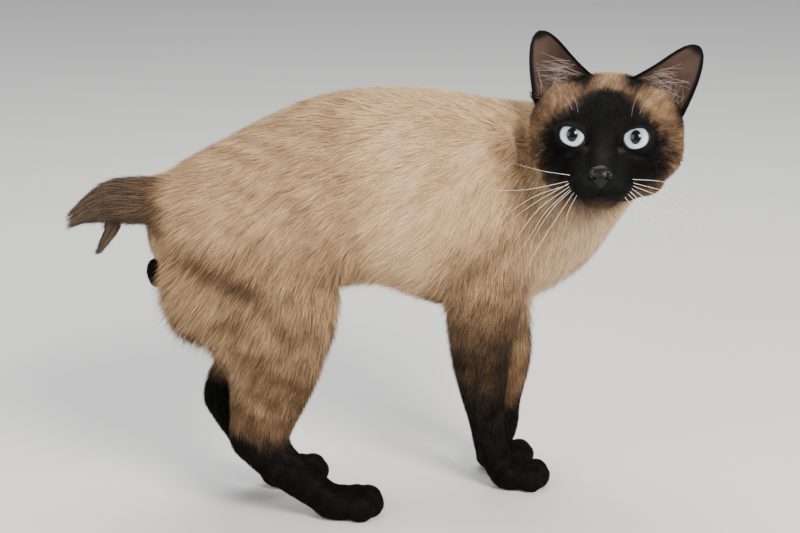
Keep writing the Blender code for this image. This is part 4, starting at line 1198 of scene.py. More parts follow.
@dataclass(frozen=True)
class FurFinish:
    """Short seal-point fur. The stops run from cream to nearly black."""

    stops: tuple[tuple[float, Place], ...] = (
        (0.0, (0.77, 0.545, 0.325)),
        (0.15, (0.665, 0.44, 0.242)),
        (0.25, (0.53, 0.345, 0.184)),
        (0.35, (0.385, 0.25, 0.14)),
        (0.5, (0.205, 0.122, 0.066)),
        (0.62, (0.12, 0.07, 0.038)),
        (0.75, (0.055, 0.034, 0.021)),
        (0.86, (0.019, 0.0135, 0.0095)),
        (0.93, (0.006, 0.005, 0.0045)),
        (1.0, (0.0014, 0.0019, 0.0019)),
    )
    cream: Place = (0.8, 0.6, 0.42)
    bare: Place = (0.054, 0.032, 0.024)
    roughness: float = 0.7

    def colour(self, dressing: Dressing, wander: Signal) -> NodeSocket:
        """The coat's colour from the stored markings, moved along the ramp by `wander`."""
        dark = (dressing.number("dark") + wander).clamped()
        return dressing.mix(dressing.number("pale") * 0.75, dressing.ramp(dark, self.stops), self.cream)

    def tufts(self) -> Material:
        """The material of the tufts."""
        dressing = Dressing("fur")
        tone, tip = dressing.number("tone"), dressing.number("tip")
        wander = (tone - 0.5) * -0.2 + (dressing.noise(260.0) - 0.5) * 0.06
        bright = (0.64 + tip * 0.46) * (0.74 + tone * 0.52)
        colour = dressing.scaled(self.colour(dressing, wander), bright)
        return dressing.settle(Base_Color=colour, Roughness=self.roughness, Specular_IOR_Level=0.07)

    def skin(self) -> Material:
        """The material of the skin, which shows between tufts, in the ears and at the lids."""
        dressing = Dressing("skin")
        inner, rim = dressing.number("inner_ear"), dressing.number("rim")
        fuzz = dressing.noise(1400.0, 3.0)
        colour = dressing.scaled(self.colour(dressing, (fuzz - 0.5) * 0.1), 0.7 + fuzz * 0.25)
        veins = dressing.noise(90.0, 4.0)
        bare = dressing.scaled(self.bare, 0.55 + veins * 0.9)
        colour = dressing.mix(inner, colour, bare)
        colour = dressing.mix(rim, colour, (0.012, 0.01, 0.01))
        dressing.bump(fuzz, 0.35, 0.0006)
        return dressing.settle(Base_Color=colour, Roughness=0.7 - rim * 0.4, Specular_IOR_Level=0.12)


@dataclass(frozen=True)
class EyeFinish:
    """A pale blue iris round a black oval pupil, under a wet surface, with the upper lid's shadow painted on
    the iris's top.
    """

    iris_radius: float = 0.0076
    pupil: tuple[float, float] = (0.003, 0.0041)
    outer: Place = (0.7, 0.8, 0.87)
    middle: Place = (0.46, 0.56, 0.63)
    inner: Place = (0.13, 0.18, 0.22)

    def make(self) -> Material:
        """The eyeball's material, which reads the place across the eye that the mesh stores."""
        dressing = Dressing("eye")
        place = dressing.node("ShaderNodeSeparateXYZ", {}, {0: dressing.vector("eye_place")})
        across, high = (Signal(dressing, place.outputs[index]) for index in (1, 2))
        reach = (across * across + high * high) ** 0.5
        pupil = ((across / self.pupil[0]) ** 2.0 + (high / self.pupil[1]) ** 2.0) ** 0.5
        part = reach / self.iris_radius
        fibres = dressing.noise(1.0, 3.0, (0.0, 900.0, 900.0), dressing.vector("eye_fibre"))
        iris = dressing.ramp((part + (fibres - 0.5) * 0.16).clamped(), (
            (0.0, self.inner), (0.4, self.inner), (0.58, self.middle), (0.76, self.outer),
            (0.86, self.outer), (0.96, self.inner)))
        iris = dressing.scaled(iris, 0.72 + fibres * 0.5)
        # The iris darkens towards its top: a painted shadow of the upper lid.
        shaded = dressing.scaled(iris, 1.0 - high.between(-0.002, 0.0065) * 0.6)
        colour = dressing.mix(pupil.between(0.94, 1.06), (0.0015, 0.0018, 0.0022), shaded)
        corner = (across * -1.0).between(0.0074, 0.0088)
        white = dressing.mix(corner, (0.05, 0.04, 0.038), (0.26, 0.19, 0.165))
        white = dressing.scaled(white, 0.6 + dressing.noise(500.0) * 0.8)
        colour = dressing.mix(part.between(0.985, 1.03), colour, (0.01, 0.012, 0.014))
        colour = dressing.mix(part.between(1.05, 1.12), colour, white)
        return dressing.settle(Base_Color=colour, Roughness=0.03, IOR=1.376)


@dataclass(frozen=True)
class PlainFinish:
    """A finish of one colour with a fine uneven surface."""

    name: str
    colour: Place
    roughness: float
    grain: float = 600.0
    depth: float = 0.0002
    specular: float = 0.5

    def make(self) -> Material:
        """The material."""
        dressing = Dressing(self.name)
        grain = dressing.noise(self.grain, 4.0)
        dressing.bump(grain, 0.5, self.depth)
        return dressing.settle(Base_Color=dressing.scaled(self.colour, 0.75 + grain * 0.5),
                               Roughness=self.roughness + (grain - 0.5) * 0.12,
                               Specular_IOR_Level=self.specular)


class Chart(Enum):
    """The coat's pieces, each with its own unwrap of the skin."""

    FACE = "coat_face"
    CROWN = "coat_crown"
    EARS = "coat_ears"
    NECK = "coat_neck"
    SHOULDERS = "coat_shoulders"
    RIGHT_FLANK = "coat_right_flank"
    LEFT_FLANK = "coat_left_flank"
    RUMP = "coat_rump"
    RIGHT_THIGH = "coat_right_thigh"
    LEFT_THIGH = "coat_left_thigh"
    RIGHT_HIND_FOOT = "coat_right_hind_foot"
    LEFT_HIND_FOOT = "coat_left_hind_foot"
    RIGHT_FORELEG = "coat_right_foreleg"
    LEFT_FORELEG = "coat_left_foreleg"
    TAIL = "coat_tail"


# The axis that each chart is unwrapped round: its two ends, and the direction of its seam.
CHART_AXES: dict[Chart, tuple[Place, Place, Place]] = {
    Chart.NECK: ((0.175, -0.06, 0.24), (0.11, 0.000, 0.205), (0, 0.3, -1)),
    Chart.SHOULDERS: ((0.165, 0.0, 0.2), (0.04, 0.003, 0.205), (0, 0, -1)),
    Chart.RIGHT_FLANK: ((0.06, 0.0, 0.205), (-0.06, 0.0, 0.2), (0, 1, 0)),
    Chart.LEFT_FLANK: ((0.06, 0.0, 0.205), (-0.06, 0.0, 0.2), (0, -1, 0)),
    Chart.RUMP: ((-0.03, 0.0, 0.205), (-0.125, -0.002, 0.195), (0, 0, -1)),
    Chart.RIGHT_THIGH: ((-0.058, -0.03, 0.2), (-0.03, -0.028, 0.075), (0, 1, 0)),
    Chart.LEFT_THIGH: ((-0.052, 0.032, 0.2), (-0.03, 0.034, 0.08), (0, -1, 0)),
    Chart.RIGHT_HIND_FOOT: ((-0.065, -0.0265, 0.085), (0.038, -0.0265, 0.006), (0, 0, -1)),
    Chart.LEFT_HIND_FOOT: ((-0.075, 0.034, 0.095), (0.012, 0.034, 0.006), (0, 0, -1)),
    Chart.RIGHT_FORELEG: ((0.104, -0.024, 0.175), (0.125, 0.000, -0.004), (0, 1, 0)),
    Chart.LEFT_FORELEG: ((0.125, 0.026, 0.175), (0.138, 0.036, -0.004), (0, -1, 0)),
    Chart.TAIL: ((-0.095, -0.004, 0.218), (-0.15, -0.004, 0.205), (0, 0, -1)),
}


class Unwrap:
    """Spreads places on the skin over a flat map, one chart at a time."""

    MARGIN = 0.03
    PATCH = 0.003

    def __init__(self, head: Head) -> None:
        """Keeps the head, whose charts lie round its own axes."""
        self.head = head

    def about_axis(self, points: Array, start: Place, end: Place, seam: Place) -> Array:
        """Each place's turn round an axis and its share of the way along it."""
        first, last = np.array(start), np.array(end)
        axis = (last - first) / np.linalg.norm(last - first)
        back = np.array(seam, float) - axis * (np.array(seam, float) @ axis)
        back /= np.linalg.norm(back)
        side = np.cross(axis, back)
        away = points - first
        turn = np.arctan2(away @ side, away @ back) % (2 * pi) / (2 * pi)
        return np.column_stack([turn, away @ axis / np.linalg.norm(last - first)])

    def place(self, chart: Chart, points: Array, normals: Array) -> Array:
        """Where places lie on the map of a chart.

        Args:
            chart: The chart they belong to.
            points: Places in the cat's axes.
            normals: The skin's normals there.

        Returns:
            Two coordinates between 0 and 1 for each place.
        """
        if chart in (Chart.FACE, Chart.CROWN):
            local = self.head.local(points) - np.array((-0.022, 0.0, -0.002))
            way = unit(local)
            apart = np.arccos(np.clip(way[:, 0], -1, 1)) / pi
            turn = np.arctan2(way[:, 2], way[:, 1])
            flat = np.column_stack([0.5 + 0.5 * apart * np.cos(turn), 0.5 + 0.5 * apart * np.sin(turn)])
        elif chart is Chart.EARS:
            local = self.head.local(points)
            turned = self.head.local_ways(normals)
            flat = np.zeros((len(points), 2))
            for number, ear in enumerate(self.head.ears()):
                v, u, on_ear, _ = ear.measure(local, turned)
                front = (turned @ np.array(ear.axes()[3]) < 0).astype(float)
                here = on_ear > 0.5
                flat[here, 0] = (0.5 * number + 0.25 * front + 0.25 * np.clip(u, 0, 1))[here]
                flat[here, 1] = np.clip(v, 0, 1)[here]
        else:
            flat = self.about_axis(points, *CHART_AXES[chart])
        return self.MARGIN + np.clip(flat, 0, 1) * (1 - 2 * self.MARGIN)


@dataclass
class Roots:
    """Places on the skin where tufts grow."""

    points: Array
    normals: Array
    sizes: Array
    lies: Array

    def pick(self, rows: Array) -> "Roots":
        """Some of the roots."""
        return Roots(self.points[rows], self.normals[rows], self.sizes[rows], self.lies[rows])


class Coat:
    """The fur, as thin tapered tufts that lie along the body."""

    MOST_TRIANGLES = 190000
    CROWDING = 2.05
    FINENESS = 0.56
    # How far a tuft is shaded as the skin is, the share of tufts that stand up, the range of their
    # lengths, and how widely their tones spread.
    SOFTNESS = 0.5
    STRAYS = 0.18
    LENGTHS = (0.58, 1.02)
    SPREAD = 0.28
    TAIL_SPREAD = 0.34
    SHORT_RINGS = ((0.0, 1.0),)
    LONG_RINGS = ((0.0, 0.9), (0.3, 1.0), (0.6, 0.85), (0.84, 0.5))

    def __init__(self, body: Body, skin: Object, growth: Growth, markings: Markings) -> None:
        """Reads the skin's surface."""
        self.body, self.head, self.growth, self.markings = body, body.head, growth, markings
        self.unwrap = Unwrap(self.head)
        self.rng = np.random.default_rng(SEED)
        mesh = skin.data
        mesh.calc_loop_triangles()
        corners = np.empty(len(mesh.loop_triangles) * 3, np.int32)
        mesh.loop_triangles.foreach_get("vertices", corners)
        self.faces = corners.reshape(-1, 3)
        self.points, self.normals = corners_of(mesh), normals_of(mesh)
        self.tree = BVHTree.FromPolygons(self.points.tolist(), self.faces.tolist(), all_triangles=True)

    def sow(self) -> Roots:
        """Scatters roots over the skin, closer where the marks crowd them."""
        a, b, c = (self.points[self.faces[:, k]] for k in range(3))
        area = np.linalg.norm(np.cross(b - a, c - a), axis=1) / 2
        _, sizes = self.growth.at((a + b + c) / 3)
        wanted = area * sizes[:, 3] * 1e6
        wanted *= self.CROWDING
        count = int(wanted.sum())
        chosen = self.rng.choice(len(area), count, p=wanted / wanted.sum())
        first = np.sqrt(self.rng.random(count))[:, None]
        second = self.rng.random(count)[:, None]
        points = (1 - first) * a[chosen] + first * (1 - second) * b[chosen] + first * second * c[chosen]
        corners = self.normals[self.faces[chosen]]
        normals = unit((1 - first) * corners[:, 0] + first * (1 - second) * corners[:, 1]
                       + first * second * corners[:, 2])
        lies, sizes = self.growth.at(points)
        return Roots(points, normals, sizes, lies)

    def clear_places(self, roots: Roots) -> Array:
        """Whether each root is clear of the eyes, the nose and the inside of the ears."""
        local = self.head.local(roots.points)
        turned = self.head.local_ways(roots.normals)
        width, height = self.head.lid_opening
        clear = np.ones(len(local), bool)
        for side in (-1, 1):
            away = local - np.array(self.head.eye(side))
            slant = side * self.head.lid_slant
            across = away[:, 1] * cos(slant) + away[:, 2] * sin(slant)
            high = -away[:, 1] * sin(slant) + away[:, 2] * cos(slant)
            oval = np.hypot(across / (width / 2 + 0.001), high / (height / 2 + 0.001))
            clear &= ~((oval < 1) & (np.abs(away[:, 0] - 0.006) < 0.014))
            clear &= np.linalg.norm(away, axis=1) > self.head.eye_radius + 0.0007
        nose = (local - np.array((0.031, 0, -0.0232))) / np.array((0.006, 0.0086, 0.0066))
        clear &= np.linalg.norm(nose, axis=1) > 1
        for ear in self.head.ears():
            _, _, on_ear, inside = ear.measure(local, turned)
            clear &= ~((inside > 0.35) & (on_ear > 0.3))
        return clear

    def charts(self, roots: Roots) -> dict[Chart, Array]:
        """Which roots belong to each chart."""
        x, y, z = roots.points.T
        local = self.head.local(roots.points)
        turned = self.head.local_ways(roots.normals)
        on_ears = np.zeros(len(x))
        for ear in self.head.ears():
            on_ears = np.maximum(on_ears, ear.measure(local, turned)[2])
        in_head = (local[:, 0] > -0.05) & (np.linalg.norm(local - np.array((-0.02, 0, 0)), axis=1) < 0.075)
        hind = (x < 0.045) & (z < 0.12 + (0.05 - x) * 0.3 + 0.84 * np.abs(y))
        fore = (x > 0.055) & (z < 0.124 + 0.84 * np.abs(y))
        tail = (x < -0.103) & (z > 0.182)
        rules = (
            (Chart.EARS, on_ears > 0.5),
            (Chart.FACE, in_head & (local[:, 0] > -0.01)),
            (Chart.CROWN, in_head),
            (Chart.TAIL, tail),
            (Chart.RIGHT_HIND_FOOT, hind & (y < 0.004) & (z < 0.08)),
            (Chart.LEFT_HIND_FOOT, hind & (z < 0.08)),
            (Chart.RIGHT_THIGH, hind & (y < 0.004)),
            (Chart.LEFT_THIGH, hind),
            (Chart.RIGHT_FORELEG, fore & (y < 0.0185)),
            (Chart.LEFT_FORELEG, fore),
            (Chart.NECK, (x > 0.118) & (z > 0.1)),
            (Chart.SHOULDERS, x > 0.06),
            (Chart.RUMP, x < -0.05),
            (Chart.RIGHT_FLANK, y < 0.003),
            (Chart.LEFT_FLANK, np.ones(len(x), bool)),
        )
        found, left = {}, np.ones(len(x), bool)
        for chart, belongs in rules:
            found[chart] = np.flatnonzero(belongs & left)
            left &= ~belongs
        return found

    def settle(self, place: Array, height: Array) -> Array:
        """Puts places at a height over the nearest skin."""
        found = np.empty_like(place)
        for index, (point, high) in enumerate(zip(place.tolist(), height.tolist())):
            near, normal, _, _ = self.tree.find_nearest(point)
            found[index] = near + normal * high
        return found

    def courses(self, roots: Roots, rings: int, hug: bool = True) -> Array:
        """The line of each tuft from root to tip.

        Args:
            roots: Where the tufts grow.
            rings: How many rings a tuft has before its tip.
            hug: Whether the tufts follow the skin.

        Returns:
            For each tuft, rings + 1 places.
        """
        count = len(roots.points)
        length, depth, stand = roots.sizes[:, 0], roots.sizes[:, 1], roots.sizes[:, 4]
        length = length * self.rng.uniform(*self.LENGTHS, count)
        way = roots.lies - roots.normals * (roots.lies * roots.normals).sum(axis=1)[:, None]
        way = unit(way + 1e-6)
        side = np.cross(roots.normals, way)
        swing = (0.11 * smooth_noise(roots.points, 0.016, 21) + 0.1 * smooth_noise(roots.points, 0.005, 22)
                 + self.rng.normal(0, 0.09, count))
        way = unit(way + side * swing[:, None])
        stray = (self.rng.random(count) < self.STRAYS) * self.rng.uniform(0.3, 1.2, count)
        stray *= np.maximum(stand - 0.75, 0.12)
        top = depth * (0.78 * stand + 0.17 * self.rng.normal(0, 1, count).clip(-1.5, 1.5) + stray)
        top = np.maximum(top, depth * 0.25)
        places = [roots.points - roots.normals * 0.0003]
        for ring in range(1, rings + 1):
            part = ring / rings
            reach = roots.points + way * (length * part)[:, None]
            height = top * sin(part * pi * 0.5) ** 0.8
            if hug:
                places.append(self.settle(reach, height))
            else:
                places.append(reach + roots.normals * height[:, None])
        course = np.stack(places, axis=1)
        course[:, :, 2] = np.maximum(course[:, :, 2], FLOOR_CLEARANCE)
        return course

    def build(self, name: str, chart: Chart, course: Array, roots: Roots,
              shares: Sequence[tuple[float, float]]) -> Object:
        """Makes the mesh of many tufts.

        Args:
            name: The piece's name.
            chart: The chart whose map the roots lie on.
            course: The places of each tuft from root to tip.
            roots: Where the tufts grow.
            shares: For each ring, its place along the tuft and its share of the width.

        Returns:
            The piece.
        """
        count, rings = len(course), len(shares)
        width = roots.sizes[:, 2] * self.FINENESS * self.rng.uniform(0.75, 1.25, count)
        along = unit((course[:, -1] - course[:, 0]))
        across = unit(np.cross(along, roots.normals))
        lift = np.cross(across, along)
        flip = np.sign((lift * roots.normals).sum(axis=1))
        lift = lift * np.where(flip == 0, 1, flip)[:, None]
        roll = self.rng.normal(0, 0.35, count)[:, None]
        across, lift = (across * np.cos(roll) + lift * np.sin(roll),
                        lift * np.cos(roll) - across * np.sin(roll))
        per = 3 * rings + 1
        points = np.empty((count, per, 3))
        for ring, (_, share) in enumerate(shares):
            half = (width * share / 2)[:, None]
            centre = course[:, ring]
            points[:, 3 * ring] = centre + across * half
            points[:, 3 * ring + 1] = centre - across * half
            points[:, 3 * ring + 2] = centre + lift * half * 0.7
        points[:, -1] = course[:, -1]
        points[:, :, 2] = np.maximum(points[:, :, 2], FLOOR_CLEARANCE)
        faces = [(0, 2, 1)]
        for ring in range(rings - 1):
            for a, b in ((0, 1), (1, 2), (2, 0)):
                faces.append((3 * ring + a, 3 * ring + b, 3 * ring + 3 + b, 3 * ring + 3 + a))
        last = 3 * (rings - 1)
        faces += [(last + a, last + b, per - 1) for a, b in ((0, 1), (1, 2), (2, 0))]
        leans = np.stack([across, -across, lift] * rings + [np.zeros_like(lift)], axis=1)
        shading = leans * (1 - self.SOFTNESS) + roots.normals[:, None] * self.SOFTNESS
        return self.to_piece(name, chart, points, shading, faces, roots, shares)

    def to_piece(self, name: str, chart: Chart, points: Array, shading: Array,
                 faces: list[tuple[int, ...]], roots: Roots,
                 shares: Sequence[tuple[float, float]]) -> Object:
        """Stores the tufts' mesh, their map and their numbers."""
        count, per = points.shape[:2]
        order = np.concatenate([np.array(face) for face in faces])
        starts = np.cumsum([0] + [len(face) for face in faces[:-1]])
        mesh = bpy.data.meshes.new(name)
        mesh.vertices.add(count * per)
        mesh.vertices.foreach_set("co", points.ravel())
        loops = (order[None] + (np.arange(count) * per)[:, None]).ravel()
        mesh.loops.add(len(loops))
        mesh.loops.foreach_set("vertex_index", loops.astype(np.int32))
        mesh.polygons.add(count * len(faces))
        mesh.polygons.foreach_set(
            "loop_start", (starts[None] + (np.arange(count) * len(order))[:, None]).ravel().astype(np.int32))
        mesh.update(calc_edges=True)
        patch = np.empty((per, 2))
        for ring, (place, _) in enumerate(shares):
            low = 0.85 * place
            patch[3 * ring : 3 * ring + 3] = ((0.0, low), (1.0, low), (0.5, low + 0.12))
        patch[-1] = (0.5, 1.0)
        middle = self.unwrap.place(chart, roots.points, roots.normals)
        corner = middle[:, None] + (patch - 0.5)[None] * Unwrap.PATCH
        layer = mesh.uv_layers.new(name="OFBake")
        layer.data.foreach_set("uv", corner.reshape(-1, 2)[loops].ravel())
        tip = np.array([place for place, _ in shares for _ in range(3)] + [1.0])
        add_number(mesh, "tip", np.tile(tip, count))
        spread = self.TAIL_SPREAD if chart is Chart.TAIL else self.SPREAD
        tone = np.clip(0.5 + 0.12 * smooth_noise(roots.points, 0.01, 31)
                       + self.rng.normal(0, spread, count), 0, 1)
        dark = self.markings.dark(roots.points)
        if chart is Chart.EARS:
            dark = np.maximum(dark, 0.93)
        for key, values in (("tone", tone), ("dark", dark), ("pale", self.markings.pale(roots.points))):
            add_number(mesh, key, np.repeat(values, per))
        mesh.shade_smooth()
        mesh.normals_split_custom_set_from_vertices(unit(shading.reshape(-1, 3)).tolist())
        return link(name, mesh)

    def ear_sizes(self, roots: Roots) -> None:
        """Makes the tufts of the ears short and turns them up to the tips."""
        local = self.head.local(roots.points)
        turned = self.head.local_ways(roots.normals)
        for ear in self.head.ears():
            _, _, on_ear, _ = ear.measure(local, turned)
            here = on_ear > 0.4
            rise = ear.axes()[1].normalized()
            roots.lies[here] = self.head.turned(np.array([rise]))[0]
            roots.sizes[here, :3] = EAR_TUFT
            roots.sizes[here, 4] = 1.0

    def brush(self) -> tuple[Array, Roots]:
        """The long hair of the tail, from its core out to the brush's outside.

        Returns:
            The hairs' courses, and their roots.
        """
        tail, rng = self.body.tail, self.rng
        courses, normals, roots = [], [], []
        for table, up, number, x_range, tips, least in (
            (tail.brush, np.array((0.0, 0, 1)), 3600, (-0.104, -0.146), (-0.126, -0.164), 0.3),
            (tail.tuft, np.array((-1.0, 0, 0)), 800, (-0.1312, -0.1385), (-0.137, -0.144), 0.2),
        ):
            rows = through_stations(table, 16)
            part = rng.random(number)
            start = x_range[0] + (x_range[1] - x_range[0]) * part
            end = tips[0] + (tips[1] - tips[0]) * (part**0.8) + rng.normal(0, 0.003, number)
            end = np.maximum(np.minimum(start - 0.01, end), tips[1] - 0.0015)
            angle = rng.uniform(0, 2 * pi, number)
            outside = rng.uniform(least, 1.0, number) ** 0.45
            swirl = rng.normal(0, 0.16, number)
            course = np.empty((number, 5, 3))
            for ring in range(5):
                share = ring / 4
                x = start + (end - start) * share
                station = np.array([np.interp(-x, -rows[:, 0], rows[:, k]) for k in range(6)]).T
                turn = angle + swirl * share
                reach = np.where(np.sin(turn) > 0, station[:, 4], station[:, 5])
                out = outside * (0.5 + 0.5 * sin(min(share * 1.5, 1) * pi / 2))
                course[:, ring] = (station[:, :3] + np.column_stack(
                    [np.zeros(number), np.cos(turn) * station[:, 3] * out, np.zeros(number)])
                    + up[None] * (np.sin(turn) * reach * out)[:, None])
            loose = rng.uniform(0.2, 1.0, (number, 1))
            course[:, 4] += (2 * course[:, 3] - course[:, 2] - course[:, 4]) * loose
            outward = (unit(np.column_stack([np.zeros(number), np.cos(angle), np.zeros(number)])
                            + up[None] * np.sin(angle)[:, None]))
            flare = (rng.uniform(0, 0.003, number) * (rng.random(number) < 0.5))[:, None]
            course[:, 3] += outward * flare * 0.35
            course[:, 4] += outward * flare
            courses.append(course)
            roots.append(course[:, 0])
            normals.append(outward)
        points = np.vstack(roots)
        sizes = np.tile(np.array((0.02, 0.004, 0.00075, 1.0, 1.0)), (len(points), 1))
        return np.vstack(courses), Roots(points, np.vstack(normals), sizes, np.zeros_like(points))

    def make(self) -> list[Object]:
        """Grows the whole coat.

        Returns:
            The coat's pieces, in the cat's own axes.
        """
        roots = self.sow()
        roots = roots.pick(np.flatnonzero(self.clear_places(roots)))
        self.ear_sizes(roots)
        pieces = []
        short = len(self.SHORT_RINGS)
        triangles = 6 * (short - 1) + 4
        most = self.MOST_TRIANGLES // triangles
        for chart, rows in self.charts(roots).items():
            parts = np.array_split(rows, max(1, ceil(len(rows) / most)))
            for number, part in enumerate(parts, 1):
                some = roots.pick(part)
                name = chart.value if len(parts) == 1 else f"{chart.value}_{number}"
                course = self.courses(some, short, chart is not Chart.EARS)
                pieces.append(self.build(name, chart, course, some, self.SHORT_RINGS))
                LOG.info("%s: %d tufts", name, len(part))
        course, long_roots = self.brush()
        pieces.append(self.build("tail_brush", Chart.TAIL, course, long_roots, self.LONG_RINGS))
        LOG.info("tail_brush: %d hairs", len(course))
        return pieces


class Strands:
    """Round hairs along given lines, such as whiskers, made by Geometry Nodes."""

    def __init__(self, name: str, sides: int) -> None:
        """Builds the tree: each line becomes a tube as thick as its stored girth."""
        tree = bpy.data.node_groups.new(name, "GeometryNodeTree")
        self.tree = tree
        for label, side, kind in (("Geometry", "INPUT", "Geometry"), ("Thickness", "INPUT", "Float"),
                                  ("Finish", "INPUT", "Material"), ("Geometry", "OUTPUT", "Geometry")):
            tree.interface.new_socket(label, in_out=side, socket_type=f"NodeSocket{kind}")
        start, end, times = (tree.nodes.new(kind) for kind in (
            "NodeGroupInput", "NodeGroupOutput", "ShaderNodeMath"))
        to_curve, girth, profile, tube, realize, finish = (tree.nodes.new(f"GeometryNode{kind}") for kind in (
            "MeshToCurve", "InputNamedAttribute", "CurvePrimitiveCircle", "CurveToMesh", "RealizeInstances",
            "SetMaterial"))
        girth.data_type, times.operation = "FLOAT", "MULTIPLY"
        for node, label, value in ((girth, "Name", "girth"), (profile, "Resolution", sides),
                                   (profile, "Radius", 1.0), (tube, "Fill Caps", True)):
            node.inputs[label].default_value = value
        for source, out, target, into in (
            (start, "Geometry", to_curve, "Mesh"), (to_curve, "Curve", tube, "Curve"),
            (girth, "Attribute", times, 0), (start, "Thickness", times, 1), (times, 0, tube, "Scale"),
            (profile, "Curve", tube, "Profile Curve"), (tube, "Mesh", realize, "Geometry"),
            (realize, "Geometry", finish, "Geometry"), (start, "Finish", finish, "Material"),
            (finish, "Geometry", end, "Geometry"),
        ):
            tree.links.new(source.outputs[out], target.inputs[into])

    def make(self, name: str, lines: list[Array], thickness: float,
             material: Material, taper: float = 0.12) -> Object:
        """Turns lines into one mesh of tapered hairs.

        Args:
            name: The piece's name.
            lines: The places along each hair, from root to tip.
            thickness: The radius at the root.
            material: The hairs' material.
            taper: The tip's share of the root's radius.

        Returns:
            The piece.
        """
        mesh = bpy.data.meshes.new(name)
        points = np.vstack(lines)
        edges, first = [], 0
        for line in lines:
            edges += [(first + k, first + k + 1) for k in range(len(line) - 1)]
            first += len(line)
        mesh.from_pydata(points.tolist(), edges, [])
        girth = np.concatenate([1 - (1 - taper) * np.linspace(0, 1, len(line)) ** 1.4 for line in lines])
        add_number(mesh, "girth", girth)
        thing = link(name, mesh)
        modifier = thing.modifiers.new("strands", "NODES")
        modifier.node_group = self.tree
        settings = {"Thickness": thickness, "Finish": material}
        for item in self.tree.interface.items_tree:
            if item.name in settings:
                modifier[item.identifier] = settings[item.name]
        apply_modifiers(thing)
        thing.data.shade_smooth()
        return thing


@dataclass
class Whiskers:
    """White whiskers on the pads, long hairs over the eyes, and pale hairs in the ears."""

    head: Head
    strands: Strands
    material: Material
    pale: Material
    rng: np.random.Generator = field(default_factory=lambda: np.random.default_rng(SEED + 1))

    WHISKER_RADIUS = 0.00012
    FINE_RADIUS = 0.00008
    FINE_TAPER = 0.3
    # Places along each whisker and long hair, in the head's axes, in millimetres.
    LINES = (
        ((22, -19, -23.6), (17, -36.7, -22.1), (12, -54.1, -18.7)),
        ((22, -19.8, -27.4), (17, -46.2, -34.3), (12, -74.2, -36.2)),
        ((22, -19.6, -29.4), (17, -43.8, -40.3), (12, -69.5, -62.7)),
        ((22.5, -19.3, -28.6), (17, -42.6, -44.3), (12, -65, -64.4)),
        ((22.5, -18.7, -30.4), (18.7, -36.3, -44.9), (15.3, -47.2, -60.1), (12, -53.2, -70.9)),
        ((22.5, -18.1, -31.8), (18.7, -32.2, -46.7), (15.3, -42.6, -64.9), (12, -56.1, -84.5)),
        ((23, -17.5, -32.8), (18.7, -28.2, -44.4), (15.3, -37.7, -60.5), (12, -42.7, -75.4)),
        ((23.5, -15.5, -33.2), (18.7, -28.6, -55.6), (15.3, -39.8, -77), (12, -45.2, -95.2)),
        ((24, -13.5, -34.5), (17, -19.1, -47), (12, -21.1, -59.7)),
        ((22, 19, -24), (13.7, 35.9, -24.7), (5.3, 56.4, -29), (-3, 68.1, -35.9)),
        ((22, 19.6, -26.2), (13.7, 42.4, -31.4), (5.3, 61, -38.9), (-3, 82.7, -59.1)),
        ((22, 19.6, -28), (13.7, 42.7, -36.5), (5.3, 59.7, -49.2), (-3, 65, -65.9)),
        ((22.5, 18.8, -29.6), (13.7, 38, -41.8), (5.3, 49.4, -45.7), (-3, 56.1, -62.3)),
        ((23.5, 14.2, -33.8), (13.7, 22.2, -45.8), (5.3, 24.7, -63.6), (-3, 25.8, -74)),
        ((23, 16.6, -32.8), (13.7, 36.7, -52), (5.3, 42.5, -64.5), (-3, 47, -86.6)),
        ((22.5, 18.4, -31.6), (9.5, 26.3, -40.2), (-3, 31.2, -46.3)),
        ((23.5, 17.2, -30.8), (13, 30, -43), (4, 38, -56)),
    )
    BROWS = (
        ((4.5, -16.5, 12.5), (9, -19, 22), (10, -24, 31)),
        ((3.5, -19.5, 13.2), (7, -24, 22), (6, -31, 30)),
        ((4.5, 15.5, 12), (9.5, 17, 22), (9, 22.5, 34)),
        ((3.5, 19.5, 13), (7.5, 23.5, 22), (6, 31, 29)),
    )

    def grow(self, name: str, lines: list[Array], fine: bool) -> Object:
        """Makes hairs along lines in the head's axes, as whiskers or as fine pale hairs."""
        places = [self.head.placed(line) for line in lines]
        if fine:
            return self.strands.make(name, places, self.FINE_RADIUS, self.pale, self.FINE_TAPER)
        return self.strands.make(name, places, self.WHISKER_RADIUS, self.material)

    def whiskers(self) -> Object:
        """The whiskers on both pads."""
        return self.grow("whiskers", [through_stations(line, 6) / 1000 for line in self.LINES], False)

    def brow_hairs(self) -> Object:
        """The fine long hairs over the eyes."""
        return self.grow("brow_hairs", [through_stations(line, 6) / 1000 for line in self.BROWS], True)

    def ear_hair(self) -> Object:
        """Pale hairs that cross the inside of each ear from its inner edge."""
        lines = []
        for ear in self.head.ears():
            _, rise, span, back = (np.array(axis) for axis in ear.axes())
            for _ in range(54):
                v, u = self.rng.uniform(0.02, 0.4), self.rng.uniform(0.1, 0.5)
                root = np.array(ear.sheet(v, u, 1.0))
                way = unit(np.array([span * 1.0 + rise * self.rng.normal(0.45, 0.4) - back * 0.01]))[0]
                length = self.rng.uniform(0.007, 0.019)
                part = np.linspace(0, 1, 8)[:, None]
                arc = -back * (0.0035 * np.sin(part * pi * 0.8))
                arc = arc + rise * 0.06 * part**2 * self.rng.normal(0.3, 0.5)
                lines.append(root + way * length * part + arc)
            for _ in range(22):
                v, u = self.rng.uniform(-0.02, 0.2), self.rng.uniform(0.55, 0.9)
                root = np.array(ear.sheet(v, u, 1.0))
                way = unit(np.array([-span * self.rng.normal(0.7, 0.6) + rise * 0.9 - back * 0.012]))[0]
                length = self.rng.uniform(0.007, 0.014)
                part = np.linspace(0, 1, 7)[:, None]
                lines.append(root + way * length * part - back * (0.0025 * np.sin(part * pi * 0.8)))
        return self.grow("ear_hair", lines, True)


